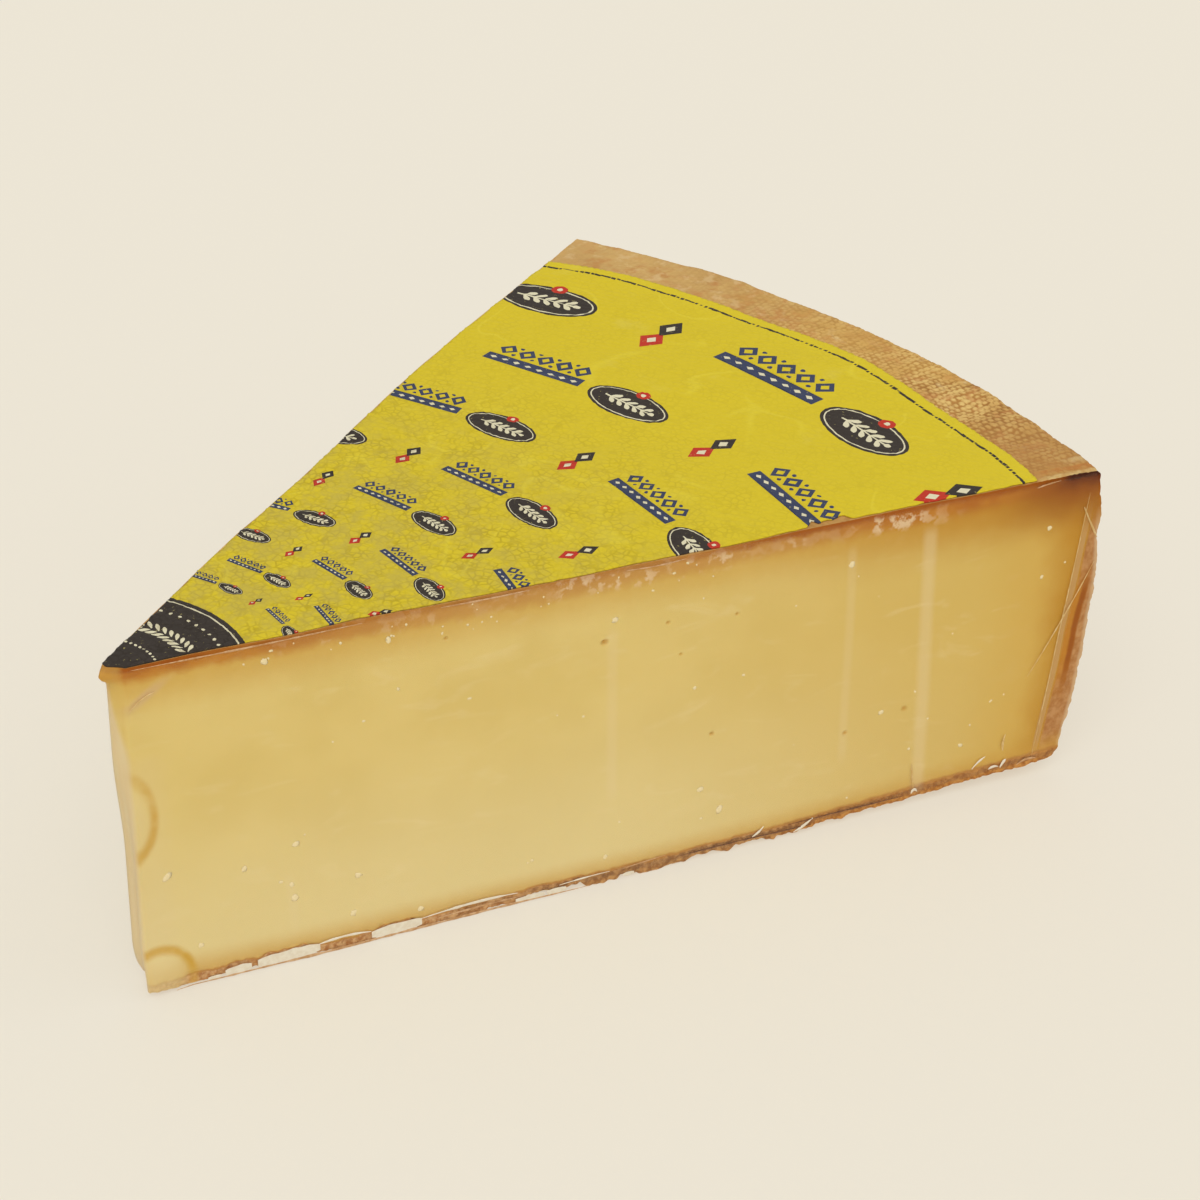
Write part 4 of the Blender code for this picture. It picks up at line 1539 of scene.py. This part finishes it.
def top_zone(look, depth, reach):
    """The rind cut through under the label: brown at the edge, then pinkish with pale blotches, then golden; by the
    heel's corner, a painted shadow under the rim's lip.
    """
    look.paint(depth.fade(18.0, 3.0, 0.0, 0.7), TOP_GOLD)
    look.paint(reach.fade(170.0, 285.0) * depth.fade(26.0, 4.0), TOP_DEEP)
    wide = reach.fade(20.0, 110.0)
    share = depth / (wide * 1.6 + 4.6)
    brown = look.blend(look.noise(8.0, 3.0).fade(0.38, 0.62), TOP_BROWN, TOP_DARK)
    brown = look.blend(wide * reach.fade(240.0, 180.0, 0.0, 0.8), brown, TOP_PINK)
    look.paint(share.fade(1.3, 0.5, 0.0, 0.9), brown)
    blotches = look.noise(4.6, 3.0, 0.6).fade(0.51, 0.61) * look.noise(22.0).fade(0.42, 0.58, 0.15, 0.85)
    look.paint(blotches * share.fade(1.3, 0.8) * wide * reach.fade(258.0, 246.0), TOP_BLOTCH)
    burnt = reach.fade(45.0, 20.0, 0.4, 0.9).at_least(reach.fade(155.0, 200.0, 0.35, 0.9))
    look.paint(share.fade(0.45, 0.1) * burnt, TOP_BURNT)
    look.paint(depth.fade(22.0, 3.0) * reach.fade(262.0, 292.0), CORNER_BROWN)
    look.paint(depth.fade(7.5, 0.5) * reach.fade(283.0, 294.0), CORNER_DARK)
    # Painted shadow under the rim's lip
    look.paint(depth.fade(2.0, 0.9) * reach.fade(288.0, 292.0) * 0.85, UNDER_RIM_SHADOW)


def bottom_zone(look, depth, reach):
    """The rind cut through at the bottom: thin and light by the tip, then crumbly brown, dark along its middle."""
    look.paint(depth.fade(12.0, 3.0, 0.0, 0.7), BOTTOM_GOLD)
    share = depth / reach.fade(60.0, 150.0, 3.0, RIND_THICKNESS)
    look.paint(share.fade(1.25, 0.95), BOTTOM_LINE)
    grain = look.noise(1.8, 3.0, 0.65).fade(0.35, 0.65)
    light, brown, ruddy = (look.blend(grain, *tones) for tones in (LIGHT_CRUMBS, BROWN_CRUMBS, RUDDY_CRUMBS))
    crumbs = look.blend(reach.fade(90.0, 135.0), light, brown)
    crumbs = look.blend(reach.fade(190.0, 225.0), crumbs, ruddy)
    look.paint(share.fade(1.0, 0.75), crumbs)
    look.paint(share.band(0.25, 0.45, 0.65, 0.85) * reach.fade(110.0, 150.0, 0.0, 0.32), BOTTOM_MIDDLE)


def film_sheen_and_bulge_shading(look, reach, across, height):
    """Pale bands of the film's sheen, painted on as highlights, a pinkish band where it folds round the tip, and on
    the near side's bulges by the tip a painted highlight inside and golden painted shade round the rim.
    """
    # The pale bands are painted highlights of the film's sheen; the pinkish one is its fold round the tip
    for (low_reach, low), (high_reach, high), half, strength, is_pink in FILM_BANDS:
        slope = (high_reach - low_reach) / (high - low)
        away = abs(reach - (height * slope + (low_reach - slope * low)))
        ends = height.band(low - 4.0, low + 4.0, high - 3.0, high + 3.0)
        look.paint(away.fade(half, half * 0.2, 0.0, strength) * ends, BAND_PINK if is_pink else BAND_SHEEN)
    near = across.fade(3.0, 1.0)
    broken = near * look.noise(9.0, 2.0).fade(0.38, 0.6, 0.45, 0.95)
    for middle, level, half_length, half_height, _ in BULGES:
        x = (reach - middle) / half_length
        z = (height - level) / half_height
        away = (x * x + z * z).root()
        # Painted highlight inside each bulge and painted shade round its rim
        look.paint(near * away.fade(0.9, 0.5, 0.0, 0.5), BULGE_HIGHLIGHT)
        look.paint(away.band(0.7, 0.94, 0.98, 1.18) * broken, BULGE_RIM_SHADE)


def tip_fold(look, reach, across, height):
    """The film's fold round the tip: pale below, golden by the top, its edge slanting over the tip's face."""
    by_tip = reach.fade(20.0, 13.0)
    start = height.fade(76.0, 104.0, 0.0, 3.4)
    within = (across - start).fade(-0.4, 1.2, 0.0, 0.85) * by_tip
    tone = look.blend(height.fade(92.0, 102.0), TIP_PALE, TIP_TAN)
    streaks = look.noise(2.4, 2.0, 0.5, 0.3, (1.0, 1.0, 0.08)).fade(0.4, 0.62, 0.0, 0.35)
    look.paint(within, look.blend(streaks, tone, TIP_STREAK))
    look.paint(across.fade(0.2, 1.2) * by_tip * (1.0 - within) * 0.4, TIP_GOLD)


def rind_material():
    """Washed rind: pale bumps and brown hollows left by the cloth, unevenly browned."""
    look = Look("rind", HOLLOW, 0.75, Specular_IOR_Level=0.1)
    reach, across, height = look.parts("spot")
    patchy = look.noise(15.0, 4.0, 0.6)
    look.paint(patchy.fade(0.35, 0.65), HOLLOW_DARK)
    bump = look.blend(patchy.fade(0.3, 0.7), BUMP, BUMP_DARK)
    speckle = look.noise(2.6, 3.0, 0.6).fade(0.35, 0.65, -0.22, 0.22)
    share = (look.number("weave") + speckle).fade(0.05, 0.75)
    on_top = height.fade(94.0, 106.0)
    far = across.fade(80.0, 170.0, 0.0, 0.8) * on_top
    look.paint(share * (1.0 - far) + far * 0.5, bump)
    look.paint(look.noise(5.0, 3.0, 0.6).fade(0.5, 0.68, 0.0, 0.55), RIND_RUDDY)
    look.paint(across.fade(90.0, 215.0, 0.0, 0.6) * on_top, RIND_FAR)
    blotched = across.fade(70.0, 130.0, 0.0, 0.6) * on_top
    look.paint(look.noise(8.0, 3.0, 0.6).fade(0.5, 0.66) * blotched, RIND_BROWN)
    look.paint(look.noise(6.0, 3.0, 0.6).fade(0.54, 0.68, 0.0, 0.7) * blotched, RIND_PALE)
    look.paint(look.noise(30.0, 3.0).fade(0.42, 0.66, 0.0, 0.5), RIND_GOLD)
    look.paint(look.noise(7.0, 4.0, 0.7).fade(0.6, 0.75, 0.0, 0.4), RIND_BLOOM)
    look.paint(across.fade(26.0, 2.0, 0.0, 0.4) * height.fade(105.0, 98.0), RIND_SIDE)
    rim_corner(look, reach, across, height.fade(98.0, 105.0))
    return look.finish(look.bump(look.noise(0.9, 3.0, 0.6), 0.25, 0.2))


def rim_corner(look, reach, across, on_top):
    """Browner rind by the near corner of the rim, with a pale lip, a brown streak and a pale one behind it."""
    look.paint(on_top * across.fade(50.0, 14.0, 0.0, 0.6), RIM_BROWN)
    patchy = look.noise(3.0, 3.0, 0.6).fade(0.35, 0.6, 0.35, 1.0)
    for middle, half, start, strength, tone in RIM_STREAKS:
        share = abs(across - middle).fade(half, half * 0.4, 0.0, strength) * on_top * patchy
        look.paint(share * reach.fade(start, start + 5.0), tone)


def paper_material(name, ink, is_print):
    """Printed paper pressed into the cloth's print: painted shade along its cells' borders and in its grooves, with
    small faults in the ink.
    """
    look = Look(name, ink, 0.65, Specular_IOR_Level=0.12)
    reach, _, edge = look.parts("spot")
    right = reach.fade(110.0, 230.0)
    # Painted shade in the grooves of the cloth's print and along the borders of its cells
    cells = look.cells(2.3).fade(0.2, 0.0) * look.noise(9.0, 4.0, 0.7).fade(0.36, 0.64, 0.25, 1.0)
    woven = look.number("weave").fade(0.6, 0.0) * look.noise(17.0, 3.0, 0.6).fade(0.35, 0.65, 0.35, 1.0)
    shade = (cells * (right * -0.75 + 1.0)).at_least(woven * (right * -0.15 + 0.3))
    look.paint(shade * 0.62, tuple(part * tone for part, tone in zip(ink, GROOVE_SHADE_TONE)))
    if is_print:
        look.paint(look.noise(1.1, 3.0, 0.7).fade(0.64, 0.72, 0.0, 0.6), INK_FAULT)
    else:
        aged_paper(look, reach, edge)
    return look.finish(look.bump(look.noise(0.6, 2.0), 0.1, 0.1))


def aged_paper(look, reach, edge):
    """Paler towards the outer end and in worn places, olive in blotches towards the tip, with thin pale folds."""
    look.paint(edge.fade(14.0, 0.0, 0.0, 0.35), PAPER_EDGE)
    look.paint(look.noise(21.0, 4.0, 0.6).fade(0.6, 0.75, 0.0, 0.2), PAPER_WORN)
    look.paint(look.noise(7.0, 4.0, 0.65).fade(0.36, 0.66) * reach.fade(210.0, 90.0) * 0.55, PAPER_OLIVE)
    fold = abs(look.noise(60.0, 2.0, 0.5, 1.2) - 0.5).fade(0.016, 0.0, 0.0, 0.25)
    look.paint(fold * look.noise(30.0).fade(0.48, 0.6), PAPER_FOLD)


def crystal_material():
    look = Look("crystal", CRYSTAL_CREAM, 0.6, Specular_IOR_Level=0.1)
    look.paint(look.noise(1.0), CRYSTAL_WHITE)
    return look.finish()


def film_material():
    look = Look("film_clear", FILM_TINT, 0.2, Alpha=0.012)
    return look.finish(look.bump(look.noise(14.0, 3.0, 0.5, 0.6, (1.0, 1.0, 0.4)), 0.3, 0.8))


def crease_material(name, light, dark):
    look = Look(name, light, 0.35, Specular_IOR_Level=0.2)
    look.paint(look.noise(1.6, 3.0, 0.6).fade(0.35, 0.65), dark)
    return look.finish()


def floor_material():
    """An even cream floor, lit partly from within so that it keeps its colour beside the cheese."""
    matte = tuple(part * (1.0 - FLOOR_GLOW) for part in FLOOR_CREAM[:3]) + (1.0,)
    glow = {"Emission_Color": FLOOR_CREAM, "Emission_Strength": FLOOR_GLOW}
    return Look("floor", matte, 0.9, Specular_IOR_Level=0.0, **glow).finish()


# Stage, light and camera

def new_object(name, data):
    thing = bpy.data.objects.new(name, data)
    bpy.context.scene.collection.objects.link(thing)
    return thing


def show(mesh, name, node=None):
    """Shows a mesh as a piece of the wedge, in place of a solid where one is named."""
    thing = new_object(name, mesh)
    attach(thing, "root")
    if node:
        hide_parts(node)
    return thing


def make_floor():
    mesh = bpy.data.meshes.new("floor")
    half = FLOOR_SIZE / 2
    mesh.from_pydata([(-half, -half, 0), (half, -half, 0), (half, half, 0), (-half, half, 0)], [], [(0, 1, 2, 3)])
    mesh.materials.append(floor_material())
    floor = new_object("floor", mesh)
    floor.location.z = FLOOR_DROP


def make_world():
    world = bpy.data.worlds.new("studio")
    world.use_nodes = True
    shade = world.node_tree.nodes["Background"]
    shade.inputs["Color"].default_value = WORLD_WHITE
    shade.inputs["Strength"].default_value = WORLD_LIGHT
    bpy.context.scene.world = world
    bpy.context.scene.view_settings.view_transform = "Standard"


def sun(name, toward, softness, strength):
    """A soft, even light that comes from the direction given."""
    lamp = bpy.data.lights.new(name, "SUN")
    lamp.angle = math.radians(softness)
    lamp.energy = strength
    lamp.color = SUN_TINT
    new_object(name, lamp).rotation_euler = (-Vector(toward)).to_track_quat("-Z", "Y").to_euler()


def make_camera():
    lens = bpy.data.cameras.new("camera")
    lens.lens = CAMERA_LENS
    lens.sensor_width = SENSOR
    camera = new_object("camera", lens)
    level = math.cos(CAMERA_FALL)
    forward = (level * math.sin(CAMERA_AZIMUTH), level * math.cos(CAMERA_AZIMUTH), -math.sin(CAMERA_FALL))
    facing = Vector(forward).to_track_quat("-Z", "Y").to_matrix().to_4x4()
    place = Matrix.Translation((Vector(CAMERA_PLACE) + Vector(AXIS)) * METRES)
    camera.matrix_world = place @ facing @ Matrix.Rotation(CAMERA_ROLL, 4, "Z")
    bpy.context.scene.camera = camera


def wheel_axis():
    """Where the wheel's axis stands on the floor, found from the solid's box."""
    x, y = plan_place(*np.concatenate([side_outline(0.0), side_outline(1.0)]).T)
    low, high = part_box("cheese")
    return np.array([low.x / METRES - x.min(), (low.y + high.y) / 2 / METRES - (y.min() + y.max()) / 2, 0.0])


AXIS = wheel_axis()

make_camera()
make_world()
make_floor()
sun("key", (-0.51, -0.40, 0.76), 50.0, 1.1)
sun("fill", (0.6, -0.5, 0.6), 60.0, 0.2)

cheese = make_cheese(paste_material(), rind_material())
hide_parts("cheese")
make_label([paper_material(*ink) for ink in INKS])
creases = [crease_material(*tint) for tint in CREASE_TINTS]
make_film(film_material(), creases)
make_crystals(crystal_material())
